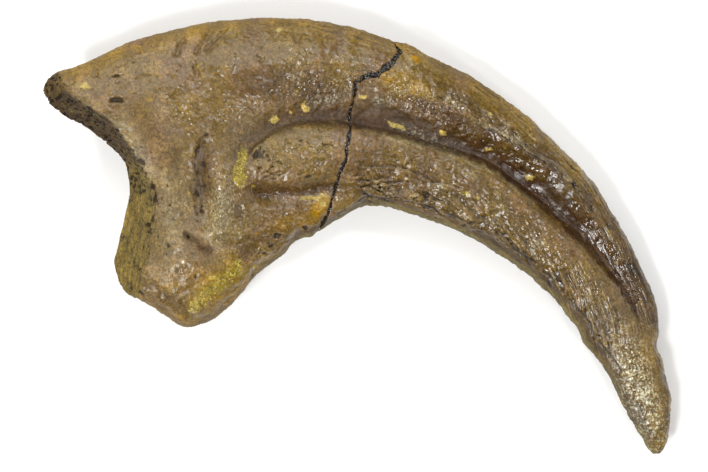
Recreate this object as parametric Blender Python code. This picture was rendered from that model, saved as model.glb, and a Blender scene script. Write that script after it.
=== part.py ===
"""A theropod dinosaur's fossil hand claw, lying on its side.

The claw broke across its middle and was cemented together again, so it has three pieces: the joint
fragment with the tendon boss, the blade fragment with the tip, and the cement in the break.

The outlines are in plan, in millimetres: +X from the joint end to the tip, +Y towards the outer curve
and +Z up. The origin is at the middle of the plan, on the surface that the claw lies on.
"""

import math
from dataclasses import dataclass

import bmesh
import bpy
import numpy as np
from mathutils import Vector, noise

# Driving sizes, in millimetres. The outlines and forms below are drawn at the drawn span.
CLAW_SPAN = 75.2
DRAWN_SPAN = 75.2
MM = 0.001 * CLAW_SPAN / DRAWN_SPAN
MID_HEIGHT = 5.644
MID_RISE_ALONG = -0.0466
MID_RISE_ACROSS = 0.0287
BREAK_GAP = 0.56
CEMENT_THICKNESS = 0.34
CEMENT_RECESS = 0.3
SOCKET_HOLLOW = 1.5
LUMP_HEIGHT = 0.14
LUMP_SIZE = 4.5

# How finely the solids are divided.
AROUND = 26
BASE_RINGS = 36
BLADE_RINGS = 40
JOINT_RINGS = 6
TIP_RINGS = 3
BREAK_ROWS = 4
CEMENT_ENDS = 2
CORNER_SHARE = 0.05
MIDDLE_CROWDING = 0.15

# Half the thickness at stations along the claw: 0 is the joint's rim, 1 the break and 2 the tip.
HALF_THICKNESS = [
    (0, 5.9), (0.3, 6.3), (0.7, 6.1), (1, 5.6), (1.35, 4.8), (1.65, 3.8), (1.85, 2.7), (1.93, 2.1),
    (1.97, 1.6), (2, 0.9),
]
FULLNESS = [(0, 0.6), (1, 0.7), (2, 0.8)]
BELLY = [(0, 0.0), (0.8, 0.02), (1.3, 0.1), (2, 0.06)]

# The outer curve and the inner curve of each fragment, from the joint end towards the tip.
BASE_OUTER = [
    (-35.8, 19.6), (-32.1, 20.9), (-28.5, 22.7), (-23.1, 24.4), (-17.1, 25.7), (-11.5, 26.1),
    (-5.7, 25.9), (-0.7, 25.0), (2.7, 24.0), (4.3, 23.3),
]
BASE_INNER = [
    (-26.1, -7.5), (-24.7, -8.2), (-23.0, -9.4), (-21.8, -10.4), (-20.5, -10.8), (-19.0, -10.6),
    (-17.6, -10.0), (-15.8, -8.6), (-14.0, -6.8), (-12.3, -4.6), (-10.5, -3.2), (-8.8, -1.9),
    (-7.9, -0.8), (-6.8, -0.2), (-5.5, 0.1), (-4.7, 0.7),
]
BLADE_OUTER = [
    (4.3, 23.3), (5.2, 23.1), (6.3, 22.7), (8.7, 21.5), (12.9, 19.5), (17.1, 16.8), (20.7, 14.0),
    (24.3, 10.6), (28.4, 6.3), (30.3, 3.1), (32.2, 0.1), (34.0, -3.8), (35.6, -7.3), (36.1, -9.8),
    (36.1, -11.9), (35.9, -13.0), (36.5, -14.5), (37.0, -16.9), (37.6, -19.3), (37.6, -21.4),
    (37.4, -23.5), (37.2, -24.7),
]
BLADE_INNER = [
    (-4.7, 0.7), (-3.1, 1.7), (-1.3, 2.7), (0.5, 3.6), (2.3, 3.8), (4.1, 3.5), (6.5, 2.7), (9.7, 1.7),
    (12.5, 0.5), (15.9, -1.4), (19.5, -3.8), (22.5, -6.3), (24.3, -8.1), (25.4, -9.7), (26.6, -11.2),
    (27.2, -12.8), (28.4, -14.1), (29.5, -15.5), (30.7, -17.5), (32.0, -20.2), (33.5, -23.0),
    (35.1, -25.6),
]
TIP_CREST = [(36.8, -25.6), (36.2, -26.0), (35.6, -26.1)]

# The joint: the rim on each side, and the keel that runs down the middle of the socket.
JOINT_RIM = [
    (-35.8, 19.6), (-35.2, 18.0), (-32.7, 15.7), (-30.1, 14.2), (-28.2, 12.2), (-26.6, 9.6),
    (-25.0, 6.9), (-24.2, 4.3), (-24.2, 1.7), (-24.8, -1.2), (-25.5, -4.1), (-26.1, -7.5),
]
JOINT_KEEL = [
    (-37.6, 17.4), (-37.0, 16.1), (-35.5, 14.7), (-32.1, 12.9), (-30.2, 11.4), (-28.9, 10.1),
    (-27.8, 8.7), (-27.4, 7.0), (-27.3, 5.2), (-27.6, 3.2), (-28.1, 1.2), (-28.7, -1.2),
    (-29.1, -3.2), (-28.7, -4.8),
]

# The line of the break on the side that faces up, and on the side that faces down.
BREAK_UP = [
    (4.3, 23.3), (5.1, 21.9), (4.4, 21.1), (3.9, 20.6), (3.2, 20.1), (2.8, 19.6), (2.3, 19.1),
    (1.4, 19.3), (0.7, 19.0), (-0.3, 18.4), (-0.3, 17.7), (-0.5, 16.3), (-0.9, 15.1), (-1.0, 13.8),
    (-0.9, 12.2), (-1.3, 10.8), (-1.4, 9.0), (-2.0, 7.9), (-2.5, 6.3), (-3.0, 4.6), (-3.5, 2.8),
    (-4.7, 0.7),
]
BREAK_DOWN = [
    (4.3, 23.3), (4.6, 21.5), (3.7, 19.8), (3.3, 18.0), (2.2, 16.6), (1.9, 14.4), (0.7, 12.3),
    (0.2, 10.1), (-1.0, 8.2), (-1.6, 6.1), (-2.7, 4.4), (-3.4, 2.4), (-4.7, 0.7),
]


def smooth_step(value, low=0.0, high=1.0):
    """0 below low, 1 above high, and an even slope between."""
    share = np.clip((value - low) / (high - low), 0, 1)
    return share * share * (3 - 2 * share)


def read_off(table, at):
    """The value at a station of a table of (station, value) pairs."""
    stations, values = zip(*table)
    return np.interp(at, stations, values)


class Path:
    """A smooth line in plan through a few points."""

    def __init__(self, points, sharp=False):
        knots = np.array(points, float)
        gaps = np.linalg.norm(np.diff(knots, axis=0), axis=1)
        at = np.concatenate([[0], np.cumsum(gaps)])
        if sharp:
            self.points = knots
        else:
            slopes = np.gradient(knots, at, axis=0)
            fine = np.linspace(0, at[-1], 8 * len(knots))
            k = np.clip(np.searchsorted(at, fine, side="right") - 1, 0, len(gaps) - 1)
            t = ((fine - at[k]) / gaps[k])[:, None]
            span = gaps[k][:, None]
            self.points = (
                knots[k] * (1 + 2 * t) * (1 - t) ** 2
                + slopes[k] * span * t * (1 - t) ** 2
                + knots[k + 1] * t * t * (3 - 2 * t)
                + slopes[k + 1] * span * t * t * (t - 1)
            )
        steps = np.linalg.norm(np.diff(self.points, axis=0), axis=1)
        self.run = np.concatenate([[0], np.cumsum(steps)])

    def at(self, shares):
        """The points at these shares of the line's length."""
        where = np.asarray(shares, float) * self.run[-1]
        return np.stack([np.interp(where, self.run, self.points[:, axis]) for axis in (0, 1)], axis=-1)

    def measure(self, places):
        """How far each place lies to the left of the line, and at what share of its length."""
        flat = np.asarray(places, float).reshape(-1, 2)
        nearest = np.full(len(flat), np.inf)
        side = np.zeros(len(flat))
        share = np.zeros(len(flat))
        for k in range(len(self.points) - 1):
            start, step = self.points[k], self.points[k + 1] - self.points[k]
            offset = flat - start
            t = np.clip(offset @ step / (step @ step), 0, 1)
            apart = np.linalg.norm(offset - t[:, None] * step, axis=1)
            closer = apart < nearest
            left = step[0] * offset[:, 1] - step[1] * offset[:, 0]
            nearest[closer] = apart[closer]
            side[closer] = np.sign(left[closer])
            share[closer] = (self.run[k] + t[closer] * math.hypot(*step)) / self.run[-1]
        shape = np.asarray(places).shape[:-1]
        return (nearest * side).reshape(shape), share.reshape(shape)


@dataclass
class Furrow:
    """A groove (or, with a negative depth, a ridge) along a line, with its own width on each side."""

    line: list
    depths: list
    left: float
    right: float
    fade: float = 0.12
    shift: tuple = (0.0, 0.0)

    def height(self, places):
        """What the furrow adds to the surface's height."""
        apart, share = Path(self.line).measure(places - np.array(self.shift))
        width = np.where(apart > 0, self.left, self.right)
        depth = np.interp(share, np.linspace(0, 1, len(self.depths)), self.depths)
        ends = smooth_step(share, 0, self.fade) * (1 - smooth_step(share, 1 - self.fade, 1))
        return -depth * ends * np.exp(-((apart / width) ** 2))


@dataclass
class Swell:
    """A round swelling (or, with a negative height, a hollow)."""

    middle: tuple
    reach: tuple
    rise: float
    turn: float = 0.0

    def height(self, places):
        """What the swelling adds to the surface's height."""
        offset = places - np.array(self.middle)
        c, s = math.cos(math.radians(self.turn)), math.sin(math.radians(self.turn))
        along = (offset[..., 0] * c + offset[..., 1] * s) / self.reach[0]
        across = (offset[..., 1] * c - offset[..., 0] * s) / self.reach[1]
        return self.rise * np.exp(-(along**2 + across**2))


# The claw sheath's groove: it starts round the tongue's blunt end and runs out to the tip.
SHEATH_LINE = [
    (-13.9, 7.3), (-13.9, 9.2), (-12.6, 11.3), (-9.9, 13.1), (-6.3, 14.0), (-1.0, 13.9), (2.5, 13.2),
    (5.6, 12.5), (8.7, 11.5), (11.9, 10.5), (15.1, 9.4), (18.2, 7.4), (21.1, 5.2), (24.3, 2.3),
    (27.6, -0.6), (30.0, -3.6), (32.2, -6.4), (33.8, -9.1), (34.9, -11.6),
]
# The furrow under the tongue, the shallow trough behind it, and the ridges and ledges.
UNDER_TONGUE_LINE = [(-13.2, 6.6), (-12.0, 5.3), (-8.7, 5.2), (-5.1, 5.6), (-1.2, 6.1)]
ROOT_TROUGH_LINE = [(-19.6, 11.8), (-20.1, 8.6), (-19.4, 4.8), (-18.2, 0.6)]
INNER_RIDGE_LINE = [(-1.0, 4.9), (4.3, 5.0), (9.1, 3.7), (13.5, 1.9), (17.8, -0.5), (22.3, -4.0)]
OUTER_LEDGE_LINE = [(12.0, 14.6), (16.2, 12.9), (20.4, 10.1), (23.7, 7.9), (27.0, 4.6), (29.3, 1.6)]
SOCKET_LIP_LINE = [(-27.0, 16.8), (-25.4, 13.6), (-23.4, 10.4), (-22.6, 7.4)]
FORM_OF_BOTH_SIDES = [
    Furrow(SHEATH_LINE, [0.8, 1.3, 1.9, 2.1, 2.2, 2.1, 1.7, 0.8], left=2.1, right=0.9, fade=0.06),
    Furrow(UNDER_TONGUE_LINE, [1.0, 1.2, 1.0, 0.6], left=0.9, right=1.4, fade=0.2),
    Furrow(ROOT_TROUGH_LINE, [0.6, 0.8, 0.7, 0.4], left=1.4, right=1.6, fade=0.3),
    Furrow(INNER_RIDGE_LINE, [-0.4, -0.45, -0.4], left=1.2, right=0.8, fade=0.2),
    Swell((-20.6, -5.2), (6.0, 4.6), 1.2, turn=30),
    Swell((-4.6, 9.7), (7.5, 2.3), 0.6, turn=5),
    Swell((-4.2, 17.6), (8.0, 3.0), -0.8, turn=-8),
    Swell((-15.5, 1.8), (3.0, 2.2), 0.4, turn=40),
    Swell((-11.5, 20.6), (9.0, 2.6), 0.5, turn=4),
]
FORM_OF_UPPER_SIDE = [
    Furrow(OUTER_LEDGE_LINE, [-0.3, -0.4, -0.3], left=0.5, right=0.9, fade=0.2),
    Furrow([(-19.2, 22.9), (-20.6, 20.8), (-21.7, 19.3)], [0.3, 0.3], left=0.9, right=0.7, fade=0.4),
    Furrow(SOCKET_LIP_LINE, [-0.3, -0.35, -0.3], left=1.2, right=0.9, fade=0.3),
    Swell((-28.8, 16.7), (0.9, 0.5), -0.5, turn=5),
    Swell((-24.3, 7.0), (0.6, 0.9), -0.55),
    Swell((-24.6, 3.3), (0.5, 1.6), -0.5),
    Swell((-12.5, 9.6), (1.1, 0.6), -0.35, turn=35),
    Swell((-10.4, 8.1), (1.3, 0.6), -0.35, turn=-25),
    Swell((-12.2, -1.6), (1.1, 0.6), -0.5, turn=45),
    Swell((-17.4, -7.4), (3.4, 1.5), 0.3, turn=35),
]
FORM_OF_LOWER_SIDE = [
    Swell((-18.0, -6.0), (5.0, 3.4), 0.25, turn=20),
    Swell((-5.0, 9.6), (9.0, 3.4), -1.0, turn=5),
    Swell((-5.0, 19.6), (8.0, 3.6), 1.5, turn=-4),
    Swell((33.4, -13.0), (3.6, 5.5), 0.7, turn=25),
    Swell((-27.0, 12.6), (2.6, 2.0), -0.35),
]


def half_thickness(station, turn):
    """Half the thickness at a station, and at a turn from the outer edge (0) to the inner edge (pi)."""
    sine = np.clip(np.sin(turn), 0, 1)
    belly = 1 - read_off(BELLY, station) * np.cos(turn)
    return read_off(HALF_THICKNESS, station) * sine ** read_off(FULLNESS, station) * belly


def lumps(places, side):
    """Low, uneven swellings all over, the same each time."""
    flat = places.reshape(-1, 2)
    heights = [
        noise.fractal(Vector((x / LUMP_SIZE, y / LUMP_SIZE, 7.0 * side)), 0.9, 2.1, 3) for x, y in flat
    ]
    return LUMP_HEIGHT * np.array(heights).reshape(places.shape[:-1])


def middle_height(places):
    """Height of the claw's middle plane, which leans a little so that the tip comes down to the surface."""
    return MID_HEIGHT + MID_RISE_ALONG * places[..., 0] + MID_RISE_ACROSS * places[..., 1]


def side_height(places, half, side):
    """Height of the surface on the upper (1) or lower (-1) side, for a half thickness at each place."""
    forms = FORM_OF_BOTH_SIDES + (FORM_OF_UPPER_SIDE if side > 0 else FORM_OF_LOWER_SIDE)
    relief = sum(form.height(places) for form in forms) + lumps(places, side)
    held = smooth_step(half, 0.1, 2.6)
    swollen = np.maximum(half + relief * held, 0.35 * half)
    return np.maximum(middle_height(places) + side * swollen, 0.0)


def drawn_to(edge, along, first, last):
    """Places along an edge, which is drawn over a short way to the corners that it meets."""
    places = edge.at(along)
    near = np.clip(1 - along / CORNER_SHARE, 0, 1)[:, None]
    far = np.clip(1 - (1 - along) / CORNER_SHARE, 0, 1)[:, None]
    return places + near * (first - places[0]) + far * (last - places[-1])


def patch(outer, inner, start, end, along, across):
    """Places in plan inside four edges: a grid of shares along the claw by shares across it."""
    s, u = along[:, None, None], across[None, :, None]
    top = drawn_to(outer, along, start[0], end[0])[:, None]
    bottom = drawn_to(inner, along, start[-1], end[-1])[:, None]
    near, far = start[None], end[None]
    corners = (
        (1 - s) * (1 - u) * start[0] + (1 - s) * u * start[-1] + s * (1 - u) * end[0] + s * u * end[-1]
    )
    return (1 - u) * top + u * bottom + (1 - s) * near + s * far - corners


def turns():
    """The turns of one side's points, from the outer to the inner edge, closer together in the middle."""
    even = np.linspace(0, math.pi, AROUND + 1)
    return even + MIDDLE_CROWDING * np.sin(2 * even)


def edge_shares():
    """The share of the way from the outer to the inner edge, at each turn."""
    return (1 - np.cos(turns())) / 2


def break_line(side, offset):
    """Places along the break on one side, moved towards the tip by an offset across the line."""
    line = Path(BREAK_UP if side > 0 else BREAK_DOWN, sharp=True)
    places = line.at(edge_shares())
    heading = np.gradient(places, axis=0)
    heading[1:-1] = (heading[:-2] + heading[1:-1] + heading[2:]) / 3
    heading /= np.linalg.norm(heading, axis=1)[:, None]
    return places + offset * np.stack([-heading[:, 1], heading[:, 0]], axis=1)


def rings_of(outer, inner, starts, ends, shares, stations):
    """Closed rings of points round the claw, one for each share of the fragment's length."""
    across, turn = edge_shares(), turns()
    sides = {}
    for side in (1, -1):
        places = patch(Path(outer), Path(inner), starts[side], ends[side], shares, across)
        half = half_thickness(stations[:, None], turn[None])
        height = side_height(places, half, side)
        sides[side] = np.concatenate([places, height[..., None]], axis=-1)
    seam = (sides[1][:, [0, -1]] + sides[-1][:, [0, -1]]) / 2
    sides[1][:, [0, -1]] = seam
    return np.concatenate([sides[1], sides[-1][:, -2:0:-1]], axis=1)


def crest_rings(ring, crest, steps):
    """Rings that close a fragment's end: its two sides draw together onto a crest line in the middle.

    Each step is the share of the way to the crest in plan, and the share of the thickness that is left.
    """
    mates = np.concatenate([crest, crest[-2:0:-1]])
    middle = middle_height(mates)
    made = []
    for reached, left in steps:
        plan = ring[:, :2] + (mates - ring[:, :2]) * reached
        made.append(np.column_stack([plan, middle + (ring[:, 2] - middle) * left]))
    return made


def loft(name, rings, first, last):
    """A closed solid skinned over rings. Each end is a 'crest', whose two sides meet, or a 'break' face."""
    mesh = bmesh.new()
    loops = [[mesh.verts.new(Vector(point) * MM) for point in ring] for ring in rings]
    count = len(rings[0])
    for a, b in zip(loops, loops[1:]):
        for j in range(count):
            k = (j + 1) % count
            mesh.faces.new((a[j], a[k], b[k], b[j]))
    for loop, kind in ((loops[0], first), (loops[-1], last)):
        if kind == "break":
            close_break(mesh, loop)
    bmesh.ops.remove_doubles(mesh, verts=mesh.verts, dist=0.002 * MM)
    bmesh.ops.dissolve_degenerate(mesh, edges=mesh.edges, dist=0.002 * MM)
    return solid_data(name, mesh)


def solid_data(name, mesh):
    """The mesh as triangles with every face pointing out."""
    bmesh.ops.recalc_face_normals(mesh, faces=mesh.faces)
    if mesh.calc_volume(signed=True) < 0:
        bmesh.ops.reverse_faces(mesh, faces=mesh.faces)
    bmesh.ops.triangulate(mesh, faces=mesh.faces)
    data = bpy.data.meshes.new(name)
    mesh.to_mesh(data)
    mesh.free()
    return data


def close_break(mesh, loop):
    """Fills a ring with rows of faces that run straight through from the upper to the lower side."""
    count = len(loop)
    columns = [[loop[0]] * (BREAK_ROWS + 1)]
    for j in range(1, count // 2):
        top, bottom = loop[j].co, loop[count - j].co
        between = [top.lerp(bottom, k / BREAK_ROWS) for k in range(1, BREAK_ROWS)]
        columns.append([loop[j], *[mesh.verts.new(point) for point in between], loop[count - j]])
    columns.append([loop[count // 2]] * (BREAK_ROWS + 1))
    weave(mesh, columns)


def weave(mesh, columns):
    """Triangles between neighbouring columns of vertices, split the same way in every fragment."""
    for a, b in zip(columns, columns[1:]):
        for k in range(len(a) - 1):
            for corners in ((a[k], a[k + 1], b[k + 1]), (a[k], b[k + 1], b[k])):
                if len(set(corners)) == 3:
                    mesh.faces.new(corners)


def both_breaks(offset):
    """The break line of each side, moved towards the tip by an offset."""
    return {side: break_line(side, offset) for side in (1, -1)}


def base_mesh():
    """The joint fragment: socket, tendon boss and the thick root of the claw."""
    rim = Path(JOINT_RIM).at(edge_shares())
    shares = np.linspace(0, 1, BASE_RINGS)
    ends = both_breaks(-BREAK_GAP / 2)
    rings = list(rings_of(BASE_OUTER, BASE_INNER, {1: rim, -1: rim}, ends, shares, shares))
    keel = Path(JOINT_KEEL).at(edge_shares())
    shares = [k / JOINT_RINGS for k in range(1, JOINT_RINGS + 1)]
    socket = crest_rings(rings[0], keel, [(share**SOCKET_HOLLOW, 1 - share) for share in shares])
    return loft("joint_fragment", socket[::-1] + rings, "crest", "break")


def blade_mesh():
    """The blade fragment, from the break to the tip."""
    crest = Path(TIP_CREST).at(edge_shares())
    end = Path([BLADE_OUTER[-1], BLADE_INNER[-1]], sharp=True).at(edge_shares())
    shares = np.linspace(0, 1, BLADE_RINGS)
    starts = both_breaks(BREAK_GAP / 2)
    rings = list(rings_of(BLADE_OUTER, BLADE_INNER, starts, {1: end, -1: end}, shares, 1 + shares))
    angles = [math.pi / 2 * k / TIP_RINGS for k in range(1, TIP_RINGS + 1)]
    tip = crest_rings(rings[-1], crest, [(math.sin(angle), math.cos(angle)) for angle in angles])
    return loft("blade_fragment", rings + tip, "break", "crest")


def cement_mesh():
    """The sheet of cement in the break, set back a little from the bone's surface."""
    mesh = bmesh.new()
    faces = []
    half = half_thickness(np.array([1.0]), turns()[None])[0]
    for offset in (-CEMENT_THICKNESS / 2, CEMENT_THICKNESS / 2):
        lines = both_breaks(offset)
        columns = []
        for j in range(CEMENT_ENDS, AROUND + 1 - CEMENT_ENDS):
            top, bottom = (
                Vector((*lines[side][j], side_height(lines[side][j], half[j], side))) for side in (1, -1)
            )
            recess = CEMENT_RECESS / (top.z - bottom.z)
            shares = [recess + (1 - 2 * recess) * k / BREAK_ROWS for k in range(BREAK_ROWS + 1)]
            columns.append([mesh.verts.new(top.lerp(bottom, share) * MM) for share in shares])
        weave(mesh, columns)
        faces.append(columns)
    for a, b in zip(*(border_of(columns) for columns in faces)):
        mesh.faces.new((a[0], a[1], b[1], b[0]))
    return solid_data("break_cement", mesh)


def border_of(columns):
    """The edges round a grid of vertices, in order."""
    bottom_row = [column[-1] for column in columns]
    top_row = [column[0] for column in columns]
    loop = columns[0] + bottom_row[1:] + columns[-1][-2::-1] + top_row[-2:0:-1]
    return list(zip(loop, loop[1:] + loop[:1]))


def finish(name, colour, roughness):
    """A plain finish for one piece."""
    material = bpy.data.materials.new(name)
    material.use_nodes = True
    shader = material.node_tree.nodes["Principled BSDF"]
    shader.inputs["Base Color"].default_value = (*colour, 1)
    shader.inputs["Roughness"].default_value = roughness
    return material


def place(data, material):
    """Puts a mesh in the scene as one named piece."""
    data.materials.append(material)
    data.shade_smooth()
    data.set_sharp_from_angle(angle=math.radians(40))
    piece = bpy.data.objects.new(data.name, data)
    bpy.context.scene.collection.objects.link(piece)
    return piece


def main():
    """Clears the scene and builds the claw."""
    for old in list(bpy.data.objects):
        bpy.data.objects.remove(old)
    bone = finish("fossil_bone", (0.22, 0.15, 0.075), 0.45)
    cement = finish("dark_cement", (0.02, 0.018, 0.014), 0.3)
    place(base_mesh(), bone)
    place(blade_mesh(), bone)
    place(cement_mesh(), cement)


main()
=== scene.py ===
"""Looks of a theropod dinosaur's fossil hand claw, lying on its side.

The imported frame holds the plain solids. Here the two bone fragments and the cement between them are skinned
again at a fine pitch from the same outlines, with the grooves, pits, cracks and stains of the real bone, and
take the place of their solids. Places in plan are in millimetres from the frame's origin: +X from the joint
end to the tip, +Y towards the outer curve, +Z up.
"""

import logging
import math
from dataclasses import dataclass, field
from enum import Enum
from typing import Callable, ClassVar

import bpy
import numpy as np
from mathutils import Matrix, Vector, noise


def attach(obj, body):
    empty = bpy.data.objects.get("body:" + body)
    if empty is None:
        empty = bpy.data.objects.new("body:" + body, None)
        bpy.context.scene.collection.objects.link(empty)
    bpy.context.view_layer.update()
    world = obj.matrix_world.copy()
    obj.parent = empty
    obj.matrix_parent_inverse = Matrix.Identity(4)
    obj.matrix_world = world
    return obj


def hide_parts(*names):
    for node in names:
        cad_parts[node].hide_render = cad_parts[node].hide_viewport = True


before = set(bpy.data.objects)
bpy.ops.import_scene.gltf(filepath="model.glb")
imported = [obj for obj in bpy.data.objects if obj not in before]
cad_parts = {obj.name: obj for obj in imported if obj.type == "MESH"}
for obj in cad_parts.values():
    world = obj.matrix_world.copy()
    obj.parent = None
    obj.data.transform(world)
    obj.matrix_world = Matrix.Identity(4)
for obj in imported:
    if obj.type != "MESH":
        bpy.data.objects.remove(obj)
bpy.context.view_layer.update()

LOG = logging.getLogger("fossil_claw")
Array = np.ndarray
Socket = bpy.types.NodeSocket
Pair = tuple[float, float]
Triple = tuple[float, float, float]
Line = list[Pair]
Table = tuple[Pair, ...]
Colour = tuple[float, float, float]
MM = 0.001

# The vector noise of mathutils starts from a seed. The share of an edge near its ends is drawn to a corner.
NOISE_SEED = 5
WARP_LEVEL = 3.0
WARP_LAYERS = 2
CORNER_SHARE = 0.05

# How steep and how dark the marks on the bone are.
PIT_EDGE = 1.8
SHADE_OF_A_SHALLOW_PIT = 0.45
CRACK_WEIGHTS = (0.7, 1.0, 0.8)
CRACK_FADE = 0.1
WRINKLE_STEEP_SIDE = 0.2
WRINKLE_EDGE = 0.8
STAIN_EDGE = 1.4
STREAK_FADE = 0.15


class Side(Enum):
    """The flank of the claw: the one that faces up, or the one that it lies on."""

    UPPER = 1
    LOWER = -1


class Tint(Enum):
    """What a place of the bone is coloured or finished like. Each is a vertex attribute of that name."""

    OCHRE = "ochre"
    YELLOW = "yellow"
    GREEN = "green"
    ORANGE = "orange"
    PALE = "pale"
    DARK = "dark"
    GROOVE = "groove"
    SOCKET = "socket"
    POROUS = "porous"
    GLOSS = "gloss"
    FIBRE = "fibre"
    GREY = "grey"
    BROWN = "brown"
    SPECK = "speck"
    DULL = "dull"
    # Painted sheen: whitish specks painted where the varnish shines, with darker specks between them.
    PAINTED_SHEEN = "frost"
    SMOOTH = "smooth"


# The outer curve and the inner curve of each fragment, from the joint end towards the tip.
JOINT_OUTER: Line = [
    (-35.8, 19.6), (-32.1, 20.9), (-28.5, 22.7), (-23.1, 24.4), (-17.1, 25.7), (-11.5, 26.1),
    (-5.7, 25.9), (-0.7, 25.0), (2.7, 24.0), (4.3, 23.3),
]
JOINT_INNER: Line = [
    (-26.1, -7.5), (-24.7, -8.2), (-23.0, -9.4), (-21.8, -10.4), (-20.5, -10.8), (-19.0, -10.6),
    (-17.6, -10.0), (-15.8, -8.6), (-14.0, -6.8), (-12.3, -4.6), (-10.5, -3.2), (-8.8, -1.9),
    (-7.9, -0.8), (-6.8, -0.2), (-5.5, 0.1), (-4.7, 0.7),
]
BLADE_OUTER: Line = [
    (4.3, 23.3), (5.2, 23.1), (6.3, 22.7), (8.7, 21.5), (12.9, 19.5), (17.1, 16.8), (20.7, 14.0),
    (24.3, 10.6), (28.4, 6.3), (30.3, 3.1), (32.2, 0.1), (34.0, -3.8), (35.6, -7.3), (36.1, -9.8),
    (36.1, -11.9), (35.9, -13.0), (36.5, -14.5), (37.0, -16.9), (37.6, -19.3), (37.6, -21.4),
    (37.4, -23.5), (37.2, -24.7),
]
BLADE_INNER: Line = [
    (-4.7, 0.7), (-3.1, 1.7), (-1.3, 2.7), (0.5, 3.6), (2.3, 3.8), (4.1, 3.5), (6.5, 2.7), (9.7, 1.7),
    (12.5, 0.5), (15.9, -1.4), (19.5, -3.8), (22.5, -6.3), (24.3, -8.1), (25.4, -9.7), (26.6, -11.2),
    (27.2, -12.8), (28.4, -14.1), (29.5, -15.5), (30.7, -17.5), (32.0, -20.2), (33.5, -23.0),
    (35.1, -25.6),
]
TIP_CREST: Line = [(36.8, -25.6), (36.2, -26.0), (35.6, -26.1)]

# The joint's rim on both flanks, and the keel down the middle of its socket.
JOINT_RIM: Line = [
    (-35.8, 19.6), (-35.2, 18.0), (-32.7, 15.7), (-30.1, 14.2), (-28.2, 12.2), (-26.6, 9.6),
    (-25.0, 6.9), (-24.2, 4.3), (-24.2, 1.7), (-24.8, -1.2), (-25.5, -4.1), (-26.1, -7.5),
]
JOINT_KEEL: Line = [
    (-37.6, 17.4), (-37.0, 16.1), (-35.5, 14.7), (-32.1, 12.9), (-30.2, 11.4), (-28.9, 10.1),
    (-27.8, 8.7), (-27.4, 7.0), (-27.3, 5.2), (-27.6, 3.2), (-28.1, 1.2), (-28.7, -1.2),
    (-29.1, -3.2), (-28.7, -4.8),
]

# The line of the break on each flank.
BREAK_UP: Line = [
    (4.3, 23.3), (5.1, 21.9), (4.4, 21.1), (3.9, 20.6), (3.2, 20.1), (2.8, 19.6), (2.3, 19.1),
    (1.4, 19.3), (0.7, 19.0), (-0.3, 18.4), (-0.3, 17.7), (-0.5, 16.3), (-0.9, 15.1), (-1.0, 13.8),
    (-0.9, 12.2), (-1.3, 10.8), (-1.4, 9.0), (-2.0, 7.9), (-2.5, 6.3), (-3.0, 4.6), (-3.5, 2.8),
    (-4.7, 0.7),
]
BREAK_DOWN: Line = [
    (4.3, 23.3), (4.6, 21.5), (3.7, 19.8), (3.3, 18.0), (2.2, 16.6), (1.9, 14.4), (0.7, 12.3),
    (0.2, 10.1), (-1.0, 8.2), (-1.6, 6.1), (-2.7, 4.4), (-3.4, 2.4), (-4.7, 0.7),
]
BREAK_DRIFT: Line = [(4.3, 23.3), (1.9, 19.0), (-0.6, 13.5), (-2.2, 7.5), (-4.7, 0.7)]

# The claw sheath's groove, the furrow under the tongue, the trough behind it, and the ridges and ledges.
SHEATH_LINE: Line = [
    (-13.9, 7.3), (-13.9, 9.2), (-12.6, 11.3), (-9.9, 13.1), (-6.3, 14.0), (-1.0, 13.9), (2.5, 13.2),
    (5.6, 12.5), (8.7, 11.5), (11.9, 10.5), (15.1, 9.4), (18.2, 7.4), (21.1, 5.2), (24.3, 2.3),
    (27.6, -0.6), (30.0, -3.6), (32.2, -6.4), (33.8, -9.1), (34.9, -11.6),
]
UNDER_TONGUE_LINE: Line = [(-13.2, 6.6), (-12.0, 5.3), (-8.7, 5.2), (-5.1, 5.6), (-1.2, 6.1)]
ROOT_TROUGH_LINE: Line = [(-19.6, 11.8), (-20.1, 8.6), (-19.4, 4.8), (-18.2, 0.6)]
INNER_RIDGE_LINE: Line = [
    (-1.0, 4.9), (4.3, 5.0), (9.1, 3.7), (13.5, 1.9), (17.8, -0.5), (22.3, -4.0),
]
OUTER_LEDGE_LINE: Line = [
    (13.7, 13.7), (14.7, 13.3), (16.9, 12.4), (19.9, 10.5), (22.6, 8.8), (23.9, 7.8), (26.1, 5.6),
    (28.9, 2.2),
]
SOCKET_LIP_LINE: Line = [(-27.0, 16.8), (-25.4, 13.6), (-23.4, 10.4), (-22.6, 7.4)]
SHOULDER_LINE: Line = [
    (-1.0, 13.1), (2.1, 12.4), (6.2, 11.2), (9.3, 10.6), (13.1, 9.1), (16.9, 7.4), (20.2, 4.9),
    (23.8, 2.7), (27.0, -0.3), (29.1, -2.7), (30.7, -4.6),
]
TONGUE_RIM_LINE: Line = [
    (-13.7, 7.7), (-13.4, 9.1), (-12.3, 10.6), (-10.7, 11.9), (-9.1, 13.1), (-6.9, 13.7),
    (-3.9, 13.9), (-1.3, 13.5),
]
CRESCENT_LINE: Line = [(-12.9, 11.0), (-13.7, 9.9), (-14.2, 8.6), (-14.3, 7.3), (-13.8, 5.6)]
YELLOW_BANK_LINE: Line = [(-19.6, -8.6), (-18.1, -7.0), (-16.5, -5.7), (-15.1, -4.4), (-13.0, -3.2)]


def smooth_step(value: Array, low: float = 0.0, high: float = 1.0) -> Array:
    """Eases from 0 below one value to 1 above another.

    Args:
        value: what is eased.
        low: where the result leaves 0.
        high: where the result reaches 1.

    Returns:
        The eased values.
    """
    share = np.clip((value - low) / (high - low), 0, 1)
    return share * share * (3 - 2 * share)


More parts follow.
